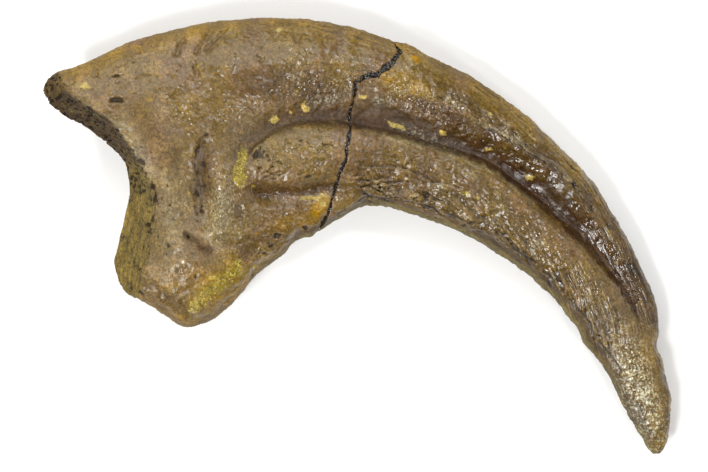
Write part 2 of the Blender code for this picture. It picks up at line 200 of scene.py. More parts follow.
class Path:
    """A smooth line in plan through a few points."""

    POINTS_TO_A_KNOT = 6

    def __init__(self, knots: Line, sharp: bool = False) -> None:
        """Works out the line's fine points.

        Args:
            knots: the points that the line runs through.
            sharp: whether the line keeps its corners.
        """
        drawn = np.array(knots, float)
        gaps = np.linalg.norm(np.diff(drawn, axis=0), axis=1)
        at = np.concatenate([[0], np.cumsum(gaps)])
        self.points = drawn
        if not sharp and len(knots) > 2:
            slopes = np.gradient(drawn, at, axis=0)
            fine = np.linspace(0, at[-1], self.POINTS_TO_A_KNOT * len(knots))
            k = np.clip(np.searchsorted(at, fine, side="right") - 1, 0, len(gaps) - 1)
            t = ((fine - at[k]) / gaps[k])[:, None]
            span = gaps[k][:, None]
            self.points = (
                drawn[k] * (1 + 2 * t) * (1 - t) ** 2
                + slopes[k] * span * t * (1 - t) ** 2
                + drawn[k + 1] * t * t * (3 - 2 * t)
                + slopes[k + 1] * span * t * t * (t - 1)
            )
        steps = np.linalg.norm(np.diff(self.points, axis=0), axis=1)
        self.run = np.concatenate([[0], np.cumsum(steps)])

    def at(self, shares: Array) -> Array:
        """The points at these shares of the line's length."""
        where = np.asarray(shares, float) * self.run[-1]
        return np.stack([np.interp(where, self.run, self.points[:, axis]) for axis in (0, 1)], axis=-1)

    def near(self, places: Array, reach: float) -> Array:
        """Which places lie in the line's box, widened by a reach."""
        low, high = self.points.min(axis=0) - reach, self.points.max(axis=0) + reach
        return np.all((places > low) & (places < high), axis=-1)

    def measure(self, places: Array) -> tuple[Array, Array]:
        """Measures places against the line.

        Args:
            places: places in plan, one to a row.

        Returns:
            How far each place lies to the left of the line, and at what share of its length.
        """
        nearest = np.full(len(places), np.inf)
        side = np.zeros(len(places))
        share = np.zeros(len(places))
        for k in range(len(self.points) - 1):
            start, step = self.points[k], self.points[k + 1] - self.points[k]
            offset = places - start
            t = np.clip(offset @ step / (step @ step), 0, 1)
            apart = np.linalg.norm(offset - t[:, None] * step, axis=1)
            closer = apart < nearest
            left = step[0] * offset[:, 1] - step[1] * offset[:, 0]
            nearest[closer] = apart[closer]
            side[closer] = np.sign(left[closer])
            share[closer] = (self.run[k] + t[closer] * math.hypot(*step)) / self.run[-1]
        return nearest * side, share


@dataclass(frozen=True)
class Band:
    """A strip along a line in plan, with its own width on each side. A higher edge gives steeper sides."""

    WIDTHS_TO_NOTHING: ClassVar[float] = 3

    line: Line
    left: float
    right: float
    weights: tuple[float, ...] = (1.0, 1.0)
    fade: float = 0.12
    edge: float = 1.0

    def cover(self, places: Array) -> Array:
        """How much of the strip covers each place: 1 on its line, 0 outside."""
        path = Path(self.line)
        cover = np.zeros(places.shape[:-1])
        near = path.near(places, self.WIDTHS_TO_NOTHING * max(self.left, self.right))
        if near.any():
            apart, share = path.measure(places[near])
            width = np.where(apart > 0, self.left, self.right)
            weight = np.interp(share, np.linspace(0, 1, len(self.weights)), self.weights)
            ends = smooth_step(share, 0, self.fade) * (1 - smooth_step(share, 1 - self.fade, 1))
            cover[near] = weight * ends * np.exp(-(np.abs(apart / width) ** (2 * self.edge)))
        return cover


@dataclass(frozen=True)
class Spot:
    """An oval in plan. A higher edge gives it a steeper side."""

    middle: Pair
    reach: Pair
    turn: float = 0.0
    edge: float = 1.0

    def cover(self, places: Array) -> Array:
        """How much of the oval covers each place: 1 in its middle, 0 outside."""
        offset = places - np.array(self.middle)
        c, s = math.cos(math.radians(self.turn)), math.sin(math.radians(self.turn))
        along = (offset[..., 0] * c + offset[..., 1] * s) / self.reach[0]
        across = (offset[..., 1] * c - offset[..., 0] * s) / self.reach[1]
        return np.exp(-((along**2 + across**2) ** self.edge))


@dataclass(frozen=True)
class Feature:
    """A form or a stain of the bone's surface."""

    area: Band | Spot
    rise: float = 0.0
    tint: Tint | None = None
    strength: float = 1.0


def pit(
    middle: Pair, reach: Pair, depth: float, turn: float = 0.0
) -> Feature:
    """A dark hole with steep sides.

    Args:
        middle: its middle in plan.
        reach: its half length and half width.
        depth: how deep it is.
        turn: degrees from +X to its length.

    Returns:
        The hole.
    """
    shade = min(1.0, SHADE_OF_A_SHALLOW_PIT + depth)
    return Feature(Spot(middle, reach, turn, PIT_EDGE), -depth, Tint.DARK, shade)


def crack(line: Line, width: float, depth: float, dark: float = 0.8) -> Feature:
    """A narrow dark crack.

    Args:
        line: where it runs.
        width: half its width.
        depth: how deep it is.
        dark: how dark it is.

    Returns:
        The crack.
    """
    return Feature(Band(line, width, width, CRACK_WEIGHTS, CRACK_FADE), -depth, Tint.DARK, dark)


def wrinkle(line: Line, bank: float, depth: float, strength: float) -> Feature:
    """A fold with one steep side, darkened with painted shade.

    Args:
        line: where it runs.
        bank: how wide its flat side is.
        depth: how deep it is.
        strength: how dark its painted shade is.

    Returns:
        The fold.
    """
    return Feature(Band(line, bank, WRINKLE_STEEP_SIDE, edge=WRINKLE_EDGE), -depth, Tint.GROOVE, strength)


def stain(
    tint: Tint,
    middle: Pair,
    reach: Pair,
    turn: float = 0.0,
    strength: float = 1.0,
    rise: float = 0.0,
) -> Feature:
    """An oval patch of colour.

    Args:
        tint: its colour.
        middle: its middle in plan.
        reach: its half length and half width.
        turn: degrees from +X to its length.
        strength: how strong the colour is.
        rise: how far it stands up.

    Returns:
        The patch.
    """
    return Feature(Spot(middle, reach, turn, STAIN_EDGE), rise, tint, strength)


def streak(tint: Tint, line: Line, width: float, strength: float, rise: float = 0.0) -> Feature:
    """A strip of colour along a line.

    Args:
        tint: its colour.
        line: where it runs.
        width: half its width.
        strength: how strong the colour is.
        rise: how far it stands up.

    Returns:
        The strip.
    """
    return Feature(Band(line, width, width, fade=STREAK_FADE), rise, tint, strength)


# The main forms: most are those of the solids, and the ledge and the trough's two banks are drawn finer.
FORM_OF_BOTH_SIDES: list[Feature] = [
    Feature(Band(SHEATH_LINE, 2.1, 0.9, (0.8, 1.3, 1.9, 2.1, 2.2, 2.1, 1.7, 0.8), 0.06), -1.0),
    Feature(Band(UNDER_TONGUE_LINE, 0.9, 1.4, (1.0, 1.2, 1.0, 0.6), 0.2), -1.0),
    Feature(Band(ROOT_TROUGH_LINE, 1.4, 1.6, (0.6, 0.8, 0.7, 0.4), 0.3), -1.0),
    Feature(Band(INNER_RIDGE_LINE, 1.2, 0.8, (0.4, 0.45, 0.4), 0.2), 1.0),
    Feature(Spot((-20.6, -5.2), (6.0, 4.6), 30), 1.2),
    Feature(Spot((-4.6, 9.7), (7.5, 2.3), 5), 0.6),
    Feature(Spot((-4.2, 17.6), (8.0, 3.0), -8), -0.8),
    Feature(Spot((-15.5, 1.8), (3.0, 2.2), 40), 0.4),
    Feature(Spot((-11.5, 20.6), (9.0, 2.6), 4), 0.5),
]
FORM_OF_UPPER_SIDE: list[Feature] = [
    Feature(Band(OUTER_LEDGE_LINE, 0.45, 0.8, (0.35, 0.5, 0.35), 0.2), 1.0),
    Feature(
        Band(
            [(-18.2, 12.2), (-18.5, 9.8), (-18.7, 7.4), (-18.3, 5.0), (-17.8, 1.8)], 0.9, 0.6, (0.8, 1.0, 0.6)
        ),
        -0.7,
    ),
    Feature(
        Band([(-16.8, 7.4), (-16.4, 4.6), (-16.1, 1.8), (-16.7, -0.6)], 1.1, 0.85, (0.8, 1.1, 0.9, 1.0)),
        0.75,
    ),
    Feature(Band([(-14.6, 5.6), (-14.2, 3.8), (-13.8, 2.2)], 0.8, 0.8), -0.35),
    Feature(Band([(-12.6, 3.9), (-10.0, 3.0), (-6.6, 3.3)], 0.8, 0.8), 0.25),
    Feature(Band([(-19.2, 22.9), (-20.6, 20.8), (-21.7, 19.3)], 0.9, 0.7, (0.3, 0.3), 0.4), -1.0),
    Feature(Band(SOCKET_LIP_LINE, 1.2, 0.9, (0.3, 0.35, 0.3), 0.3), 1.0),
    Feature(Spot((-12.2, -1.6), (1.1, 0.6), 45), -0.3),
    Feature(Spot((-17.4, -7.4), (3.4, 1.5), 35), 0.3),
]
FORM_OF_LOWER_SIDE: list[Feature] = [
    Feature(Spot((-18.0, -6.0), (5.0, 3.4), 20), 0.25),
    Feature(Spot((-5.0, 9.6), (9.0, 3.4), 5), -1.0),
    Feature(Spot((-5.0, 19.6), (8.0, 3.6), -4), 1.5),
    Feature(Spot((33.4, -13.0), (3.6, 5.5), 25), 0.7),
    Feature(Spot((-27.0, 12.6), (2.6, 2.0), 0), -0.35),
]

# Holes, cracks and wrinkles of the flank that faces up.
PITS_OF_THE_ROOT: list[Feature] = [
    pit((-28.68, 16.21), (0.76, 0.34), 0.55, 3),
    pit((-28.62, 19.14), (0.78, 0.18), 0.4, 14),
    pit((-28.67, 18.24), (0.2, 0.18), 0.3),
    pit((-31.08, 19.02), (0.38, 0.16), 0.3, -30),
    pit((-26.82, 20.7), (0.29, 0.12), 0.2, 10),
    pit((-18.48, 17.56), (0.18, 0.17), 0.25),
    pit((-18.06, 12.0), (0.34, 0.24), 0.4, 60),
    pit((-23.28, 8.14), (0.24, 0.2), 0.3),
    pit((-24.72, 10.07), (0.19, 0.16), 0.15),
    pit((-25.62, 9.12), (0.8, 0.22), 0.3, -62),
    pit((-24.5, 6.14), (0.6, 0.32), 0.55, -80),
    pit((-23.9, 4.4), (0.7, 0.26), 0.5, -85),
    pit((-24.31, 2.28), (0.5, 0.26), 0.45, 60),
    pit((-24.82, 1.4), (0.4, 0.3), 0.55),
    pit((-24.7, 0.5), (0.34, 0.3), 0.5),
    pit((-22.7, 6.0), (0.3, 0.22), 0.25, 10),
    pit((-22.2, 3.6), (0.26, 0.2), 0.25, 50),
    pit((-23.14, 4.63), (0.24, 0.14), 0.25, 45),
    pit((-18.92, 7.67), (0.48, 0.26), 0.25, 70),
    pit((-17.75, 7.0), (0.26, 0.2), 0.35, 20),
    pit((-18.42, 3.66), (0.38, 0.24), 0.15, 70),
    pit((-17.08, 3.04), (0.23, 0.19), 0.35),
    pit((-20.35, 0.0), (0.3, 0.22), 0.45, -20),
    pit((-25.99, -3.95), (0.22, 0.16), 0.35, 30),
    pit((-25.74, -6.65), (0.37, 0.2), 0.5, -10),
    pit((-9.42, 0.18), (0.62, 0.34), 0.5, 35),
    pit((-6.42, 1.1), (0.54, 0.28), 0.4, -5),
    pit((-10.16, -1.09), (0.28, 0.22), 0.3),
    pit((-11.18, -1.93), (0.48, 0.28), 0.2, 40),
    crack([(-18.6, 12.0), (-19.2, 10.6), (-19.5, 9.2), (-19.2, 7.8)], 0.22, 0.3, 0.7),
    crack([(-19.3, 7.4), (-19.6, 5.6), (-19.3, 4.0), (-18.9, 2.2)], 0.2, 0.3, 0.65),
    pit((-19.2, 9.9), (0.7, 0.2), 0.35, 75),
    pit((-18.6, 10.8), (0.4, 0.22), 0.35, 40),
    pit((-19.3, 4.8), (0.8, 0.22), 0.4, 85),
    pit((-18.3, 6.1), (0.4, 0.2), 0.3, 30),
    pit((-18.9, 1.7), (0.4, 0.26), 0.3, 120),
    pit((-18.4, 8.6), (0.4, 0.26), 0.3, 100),
    pit((-17.8, 9.6), (0.3, 0.2), 0.25, 20),
    pit((-18.4, 3.0), (0.34, 0.24), 0.3, 60),
    crack([(-23.98, 5.47), (-23.87, 4.62), (-24.06, 3.79)], 0.22, 0.5, 1.0),
    crack(
        [(-23.7, 7.6), (-24.2, 6.2), (-23.9, 4.6), (-24.1, 3.0), (-24.5, 1.6), (-24.7, 0.0)], 0.14, 0.3, 0.7
    ),
    crack([(-24.76, -0.9), (-24.9, -1.93), (-25.0, -2.8)], 0.12, 0.35),
    crack([(-23.46, 2.8), (-22.5, 2.87)], 0.09, 0.15),
    crack([(-20.9, 0.4), (-20.0, -0.1), (-19.2, -0.6)], 0.3, 0.4, 0.34),
    crack([(-19.4, -1.0), (-18.3, -1.5), (-17.3, -2.2)], 0.3, 0.35, 0.34),
    streak(Tint.GROOVE, [(-21.1, 0.5), (-20.0, -0.1), (-19.0, -0.8), (-17.0, -2.3)], 0.5, 0.6, -0.2),
    crack([(-15.2, 3.5), (-14.4, 4.1), (-13.6, 3.9)], 0.12, 0.2, 0.5),
    pit((-19.5, -1.9), (0.4, 0.16), 0.25, -35),
    pit((-21.2, 5.2), (0.3, 0.14), 0.2, 60),
    pit((-21.9, 1.9), (0.22, 0.16), 0.2, 20),
    pit((-14.9, -1.2), (0.26, 0.18), 0.25, 40),
    pit((-12.9, 1.2), (0.2, 0.14), 0.2, 0),
]
PITS_OF_THE_TONGUE: list[Feature] = [
    pit((-11.82, 9.78), (0.9, 0.36), 0.5, 20),
    pit((-10.1, 8.28), (0.46, 0.3), 0.5),
    pit((-11.86, 8.17), (0.36, 0.24), 0.4),
    pit((-9.36, 7.68), (0.29, 0.18), 0.3),
    pit((-11.1, 6.9), (0.36, 0.17), 0.22, 15),
    pit((-12.5, 9.2), (0.3, 0.2), 0.35, 40),
    pit((-10.7, 9.6), (0.34, 0.18), 0.3, 10),
    pit((-10.9, 7.7), (0.3, 0.16), 0.3, -20),
    pit((-8.9, 8.3), (0.24, 0.14), 0.25, 0),
    pit((-9.9, 7.0), (0.3, 0.14), 0.25, 10),
    crack([(-12.6, 8.6), (-11.6, 9.3), (-10.4, 9.4)], 0.14, 0.3),
    crack([(-12.0, 7.3), (-11.0, 7.5), (-9.8, 7.3), (-8.4, 7.6)], 0.12, 0.28),
    crack([(-8.0, 7.3), (-6.6, 6.9), (-5.0, 7.2), (-3.4, 7.0)], 0.1, 0.2, 0.6),
    pit((-6.97, 7.5), (0.42, 0.14), 0.25, -10),
    pit((-5.82, 7.02), (0.31, 0.17), 0.25, 10),
    pit((-6.73, 11.5), (0.23, 0.18), 0.25),
    crack([(-10.98, 8.98), (-9.9, 8.82), (-8.76, 8.64)], 0.14, 0.35),
    crack([(-4.14, 10.98), (-3.3, 10.84), (-2.46, 10.6)], 0.15, 0.4, 0.6),
    crack([(-7.62, 9.48), (-5.7, 9.24), (-3.71, 8.98)], 0.08, 0.12, 0.5),
]
PITS_OF_THE_BLADE: list[Feature] = [
    pit((17.14, 15.42), (0.24, 0.23), 0.3),
    pit((16.13, 16.18), (0.16, 0.14), 0.2),
    pit((19.8, 8.1), (0.36, 0.24), 0.5, -35),
    pit((8.22, 4.69), (0.54, 0.4), 0.3),
    pit((4.32, 4.68), (0.43, 0.18), 0.35, -15),
    pit((6.78, 5.1), (0.36, 0.17), 0.25, -10),
    pit((17.68, 0.24), (0.54, 0.32), 0.35, -30),
    pit((20.1, -0.42), (0.36, 0.24), 0.2, -30),
    crack([(9.18, 16.62), (10.14, 16.6), (10.98, 16.46)], 0.12, 0.25, 0.7),
    crack(
        [(-0.54, 8.82), (2.2, 8.23), (4.02, 8.58), (6.18, 7.9), (8.22, 7.06), (10.94, 6.06), (12.97, 5.71)],
        0.13, 0.35, 0.85,
    ),
    crack([(-1.5, 7.62), (-0.18, 7.26), (0.78, 7.38)], 0.12, 0.3),
    crack([(-0.66, 6.06), (1.14, 6.06), (3.54, 5.04), (5.89, 4.52)], 0.17, 0.45, 0.9),
    crack([(1.14, 6.22), (2.94, 6.42), (4.86, 6.54), (6.54, 6.38)], 0.14, 0.35),
    crack([(0.06, 5.46), (2.7, 4.68), (4.86, 3.96)], 0.14, 0.3),
    crack([(-2.5, 6.8), (0.0, 6.7), (2.3, 6.9), (4.4, 7.2)], 0.11, 0.3, 0.7),
    crack([(4.2, 5.7), (6.4, 5.5), (8.7, 4.6), (10.6, 4.2)], 0.12, 0.3, 0.75),
    crack([(5.0, 4.3), (7.6, 3.7), (10.4, 2.7), (12.6, 1.7)], 0.12, 0.28, 0.7),
    crack([(13.02, 2.1), (13.98, 1.38), (14.94, 0.66)], 0.13, 0.25),
    crack([(15.6, 1.2), (18.4, -0.8), (21.4, -3.2), (23.6, -5.4)], 0.12, 0.28, 0.7),
    crack([(22.0, -1.6), (24.6, -4.4), (26.8, -7.4)], 0.1, 0.22, 0.6),
    # A dark groove along the ledge, partly its own and partly painted shadow under the ledge.
    Feature(Band(OUTER_LEDGE_LINE, 0.1, 0.2, (0.7, 1.0, 0.8)), -0.3, Tint.DARK, 0.75),
]
# Folds darkened with painted shade, and the painted highlight and shadow of the shoulder and the tongue's
# rim.
WRINKLES: list[Feature] = [
    wrinkle([(-15.4, 25.0), (-16.9, 23.6), (-18.4, 21.9)], 0.5, 0.45, 0.2),
    wrinkle([(-17.2, 24.8), (-18.4, 23.4), (-19.6, 21.6)], 0.5, 0.45, 0.24),
    wrinkle([(-20.5, 24.0), (-21.2, 22.8), (-21.9, 21.2)], 0.4, 0.4, 0.2),
    Feature(Band([(-19.3, 20.8), (-19.4, 19.9), (-19.0, 18.9)], 0.26, 0.22), -0.3, Tint.GROOVE, 0.4),
    Feature(Band([(-12.0, 21.8), (-11.2, 21.3), (-11.6, 20.6)], 0.2, 0.2), -0.2, Tint.GROOVE, 0.3),
    # Painted highlight along the shoulder ridge.
    Feature(Band(SHOULDER_LINE, 0.35, 0.3), 0.2, Tint.PALE, 0.5),
    # Painted highlight on the tongue rim's lip, and above it a dark band that is partly the groove's brown
    # and partly painted shadow.
    Feature(Band(TONGUE_RIM_LINE, 0.35, 0.3), 0.12, Tint.PALE, 0.2),
    Feature(Band(TONGUE_RIM_LINE, 0.7, 0.2, (1.0, 0.9, 0.9)), -0.2, Tint.GROOVE, 0.8),
]
STAINS_OF_THE_ROOT: list[Feature] = [
    stain(Tint.OCHRE, (-26.15, 22.27), (0.96, 0.42), -8, 0.9),
    stain(Tint.OCHRE, (-28.67, 21.43), (0.72, 0.36), 20, 0.8),
    stain(Tint.OCHRE, (-24.8, 16.38), (0.43, 0.36), 0, 0.9),
    stain(Tint.OCHRE, (-23.22, -6.06), (0.48, 0.36), 0, 0.4),
    stain(Tint.YELLOW, (-32.54, 17.99), (0.96, 0.48), -10, 0.7, 0.05),
    stain(Tint.YELLOW, (-9.26, 24.8), (0.54, 0.29), 0, 0.8),
    stain(Tint.YELLOW, (-6.4, 15.37), (0.54, 0.42), 0, 0.9, 0.08),
    stain(Tint.YELLOW, (-8.1, 14.78), (0.26, 0.2), 0, 0.7, 0.06),
    stain(Tint.YELLOW, (-9.94, 13.86), (0.58, 0.4), 20, 0.7, 0.06),
    stain(Tint.ORANGE, (-4.9, 3.2), (1.3, 0.7), 75, 0.85),
    stain(Tint.OCHRE, (-4.6, 3.4), (1.8, 1.2), 60, 0.8),
    stain(Tint.YELLOW, (-4.14, 4.02), (0.48, 0.6), 0, 0.6, 0.1),
    stain(Tint.GREEN, (-19.2, -8.2), (1.1, 0.7), 20, 1.0, 0.2),
    stain(Tint.YELLOW, (-19.4, -8.6), (0.7, 0.5), 20, 0.9, 0.15),
    stain(Tint.YELLOW, (-17.24, -4.97), (0.54, 0.3), 10, 0.8, 0.1),
    stain(Tint.GREEN, (-14.38, -3.11), (0.72, 0.36), 30, 0.8, 0.12),
    stain(Tint.GREEN, (-12.18, -3.42), (0.43, 0.22), 0, 0.7, 0.1),
    stain(Tint.GREEN, (-17.94, -9.0), (0.54, 0.26), 20, 0.6, 0.1),
    stain(Tint.OCHRE, (-21.3, -9.5), (0.6, 0.29), 0, 0.7),
    stain(Tint.ORANGE, (-21.9, -5.7), (1.08, 0.43), 5, 0.6),
    stain(Tint.ORANGE, (-12.06, 0.42), (0.19, 0.31), 0, 0.7),
    stain(Tint.PALE, (3.42, 22.32), (0.84, 0.42), -15, 0.5),
    stain(Tint.PALE, (-21.6, 1.6), (2.6, 6.4), 4, 0.26),
    # Painted sheen: the lobe is painted paler where it shines.
    stain(Tint.PALE, (-16.4, 2.4), (1.7, 4.4), -4, 0.45),
    stain(Tint.PALE, (-5.6, 9.6), (6.4, 3.4), 0, 0.06),
    stain(Tint.OCHRE, (-19.6, -6.6), (6.0, 3.4), 10, 0.35),
    stain(Tint.DULL, (-19.6, -6.8), (6.0, 3.4), 10, 0.2),
    Feature(Band(CRESCENT_LINE, 1.0, 0.5, (0.4, 0.9, 1.0, 0.7), 0.25), 0.1, Tint.GREEN, 0.95),
    Feature(Band(CRESCENT_LINE, 0.6, 0.25, (0.2, 0.7, 0.8, 0.4), 0.3), 0.1, Tint.YELLOW, 0.7),
    streak(Tint.GREEN, YELLOW_BANK_LINE, 1.1, 0.56, 0.1),
    stain(Tint.ORANGE, (-17.2, -5.0), (0.8, 0.35), 25, 0.8),
    # Painted sheen on the lobe, above the tongue's rim and in the hollow above it.
    stain(Tint.PAINTED_SHEEN, (-16.2, 3.6), (1.9, 4.0), -8, 0.27),
    stain(Tint.PAINTED_SHEEN, (-14.0, 13.2), (1.6, 3.0), -30, 0.2),
    stain(Tint.PAINTED_SHEEN, (-4.5, 16.2), (2.6, 0.6), 10, 0.36),
    stain(Tint.PAINTED_SHEEN, (-7.3, 18.8), (2.2, 1.2), 15, 0.2),
    stain(Tint.DULL, (-19.0, -1.0), (3.0, 1.3), -35, 0.9),
    stain(Tint.SMOOTH, (-19.0, -1.0), (3.0, 1.3), -35, 0.9),
    stain(Tint.SMOOTH, (-18.4, 7.4), (1.4, 5.2), -4, 0.8),
    stain(Tint.DULL, (-18.6, 7.4), (1.3, 5.2), -4, 0.4),
    streak(Tint.OCHRE, YELLOW_BANK_LINE, 2.1, 0.8),
    stain(Tint.OCHRE, (-7.2, 1.8), (3.0, 1.1), 15, 0.5),
    streak(Tint.YELLOW, [(-7.38, 4.44), (-5.46, 4.62), (-3.42, 4.74)], 0.3, 0.7, 0.05),
    streak(Tint.GROOVE, [(-24.18, -6.78), (-22.5, -7.26), (-20.34, -7.74)], 0.45, 0.45),
    streak(Tint.PALE, [(-29.1, 14.6), (-27.2, 12.3), (-25.6, 9.4), (-24.0, 6.0)], 0.6, 0.42),
    stain(Tint.GROOVE, (-14.0, 2.5), (0.8, 0.5), 0, 0.3),
]
STAINS_OF_THE_BLADE: list[Feature] = [
    stain(Tint.YELLOW, (0.84, 16.72), (0.84, 0.3), -5, 0.7, 0.05),
    stain(Tint.YELLOW, (4.8, 13.2), (1.32, 0.32), -19, 1.0, 0.1),
    stain(Tint.ORANGE, (4.74, 13.32), (0.42, 0.16), -19, 0.9),
    stain(Tint.ORANGE, (6.76, 21.24), (1.02, 0.4), -10, 0.9),
    stain(Tint.YELLOW, (10.24, 12.38), (0.38, 0.46), 0, 0.8, 0.08),
    stain(Tint.YELLOW, (15.78, 14.48), (0.48, 0.26), -25, 0.7, 0.08),
    stain(Tint.PALE, (18.06, 13.48), (0.38, 0.3), 0, 0.6),
    stain(Tint.OCHRE, (18.06, 14.74), (0.36, 0.24), 0, 0.6),
    stain(Tint.YELLOW, (15.37, 10.45), (0.54, 0.3), -5, 0.7, 0.08),
    stain(Tint.YELLOW, (20.51, 7.08), (0.54, 0.34), -20, 0.8, 0.08),
    stain(Tint.GREEN, (12.97, 5.22), (0.6, 0.29), -15, 0.6),
    stain(Tint.YELLOW, (14.32, 4.52), (0.43, 0.26), -10, 0.6, 0.06),
    stain(Tint.OCHRE, (5.2, 18.6), (3.2, 1.6), -20, 0.7),
    # The tip's pale stain is partly its own colour and partly painted sheen; the specks over it are painted
    # sheen.
    stain(Tint.PALE, (33.9, -18.6), (1.5, 6.0), 19, 0.3),
    stain(Tint.PAINTED_SHEEN, (33.9, -18.4), (2.1, 7.4), 19, 1.0),
    # Painted sheen where the varnish on the blade's outer part shines.
    stain(Tint.PAINTED_SHEEN, (2.7, 16.2), (0.9, 0.5), 0, 0.7),
    stain(Tint.PAINTED_SHEEN, (4.9, 17.3), (0.6, 0.4), 0, 0.6),
    stain(Tint.PAINTED_SHEEN, (11.5, 16.0), (1.1, 0.5), -25, 0.7),
    stain(Tint.PAINTED_SHEEN, (18.5, 12.2), (1.8, 0.5), -38, 0.7),
    stain(Tint.PAINTED_SHEEN, (8.6, 11.8), (4.4, 0.8), -20, 0.35),
    streak(Tint.BROWN, [(27.4, -11.8), (29.9, -15.4), (32.2, -19.6), (35.4, -25.2)], 1.1, 0.95),
    streak(Tint.GROOVE, [(28.4, -13.6), (31.0, -18.2), (34.2, -24.2)], 0.6, 0.6),
    streak(Tint.BROWN, [(36.2, -13.4), (37.2, -18.8), (36.9, -24.4)], 0.9, 0.9),
    # A pale line along the ledge's top, partly its own colour and partly painted highlight.
    Feature(Band(OUTER_LEDGE_LINE, 0.4, 0.06), 0.0, Tint.PALE, 0.5),
    stain(Tint.PALE, (9.6, 5.9), (1.1, 0.5), -15, 0.45, 0.06),
    stain(Tint.PALE, (17.2, 3.3), (1.2, 0.5), -35, 0.4, 0.06),
    stain(Tint.PALE, (21.8, -0.8), (1.3, 0.5), -42, 0.4, 0.06),
    stain(Tint.PALE, (13.4, 7.4), (0.9, 0.4), -25, 0.35, 0.05),
]

# Where the varnish has gathered and shrunk into fine glossy wrinkles.
GLOSSY_PLACES: list[Feature] = [
    stain(Tint.GLOSS, (-6.4, 16.8), (7.0, 2.4), 8, 1.0),
    stain(Tint.GLOSS, (-15.0, 16.2), (3.0, 2.4), 30, 0.45),
    stain(Tint.GLOSS, (-16.4, 2.8), (2.2, 5.6), -4, 1.0),
    stain(Tint.GLOSS, (5.4, 9.8), (4.6, 1.6), -12, 0.25),
    stain(Tint.GLOSS, (-20.4, -4.2), (3.4, 2.4), 20, 0.45),
    stain(Tint.GLOSS, (-10.4, -0.4), (4.4, 1.4), 38, 0.5),
    stain(Tint.GLOSS, (34.0, -18.0), (2.4, 6.8), 17, 1.0),
    stain(Tint.GLOSS, (-18.2, 9.0), (1.6, 3.4), 0, 0.35),
    stain(Tint.GLOSS, (-22.0, 15.0), (4.0, 2.2), -20, 0.5),
    Feature(
        Band([(1.0, 17.4), (6.5, 16.0), (12.0, 13.0), (17.0, 10.6), (21.0, 8.2), (24.5, 5.0)], 1.3, 1.3),
        0.0, Tint.GLOSS, 1.0,
    ),
    Feature(
        Band(
            [(24.5, 5.0), (28.0, 1.0), (31.0, -3.5), (33.5, -8.0), (35.4, -13.0)],
            1.6, 1.2, (0.4, 0.5, 0.9, 1.0, 1.0),
        ),
        0.0, Tint.GLOSS, 1.0,
    ),
    Feature(Band([(14.0, 4.5), (20.0, 1.0), (25.0, -4.0), (29.0, -9.5)], 2.8, 2.8), 0.0, Tint.GLOSS, 0.42),
    Feature(
        Band([(18.6, 9.6), (22.6, 6.4), (26.4, 2.4), (29.4, -1.8), (31.8, -6.0)], 1.4, 1.6, fade=0.1),
        0.0, Tint.SMOOTH, 0.9,
    ),
    stain(Tint.SMOOTH, (-16.4, 2.4), (1.8, 4.6), -4, 0.25),
    Feature(Band([(-1.6, 6.8), (6.0, 5.4), (13.0, 2.6)], 1.8, 1.8), 0.0, Tint.GLOSS, 0.5),
    Feature(Band([(2.0, 18.0), (9.0, 16.4), (16.0, 13.0), (22.0, 9.4)], 1.8, 1.4), 0.0, Tint.GLOSS, 0.8),
]

# The flank that isn't seen has a few holes and stains of its own.
MARKS_OF_LOWER_SIDE: list[Feature] = [
    pit((-27.2, 14.6), (0.5, 0.3), 0.4, 20),
    pit((-22.4, 3.2), (0.4, 0.3), 0.4, 70),
    pit((-23.6, -1.2), (0.3, 0.3), 0.4),
    pit((-15.2, -4.6), (0.6, 0.3), 0.4, 40),
    pit((-9.8, 8.9), (0.5, 0.3), 0.3, 10),
    pit((12.4, 5.0), (0.5, 0.3), 0.3, -20),
    crack([(1.5, 6.8), (6.0, 6.2), (10.5, 4.6)], 0.12, 0.25),
    crack([(-2.5, 9.4), (-6.0, 9.9), (-9.0, 9.4)], 0.1, 0.2),
    stain(Tint.YELLOW, (-12.6, 15.2), (0.8, 0.5), 10, 0.7, 0.08),
    stain(Tint.YELLOW, (9.5, 12.6), (0.9, 0.4), -20, 0.8, 0.08),
    stain(Tint.GREEN, (-16.8, -7.2), (1.2, 0.6), 30, 0.8, 0.12),
    stain(Tint.OCHRE, (-26.0, 20.0), (2.4, 1.2), 15, 0.6),
    stain(Tint.OCHRE, (34.8, -19.0), (3.0, 7.0), 15, 0.5),
    stain(Tint.GLOSS, (-6.0, 17.0), (6.0, 2.0), 8, 0.6),
]

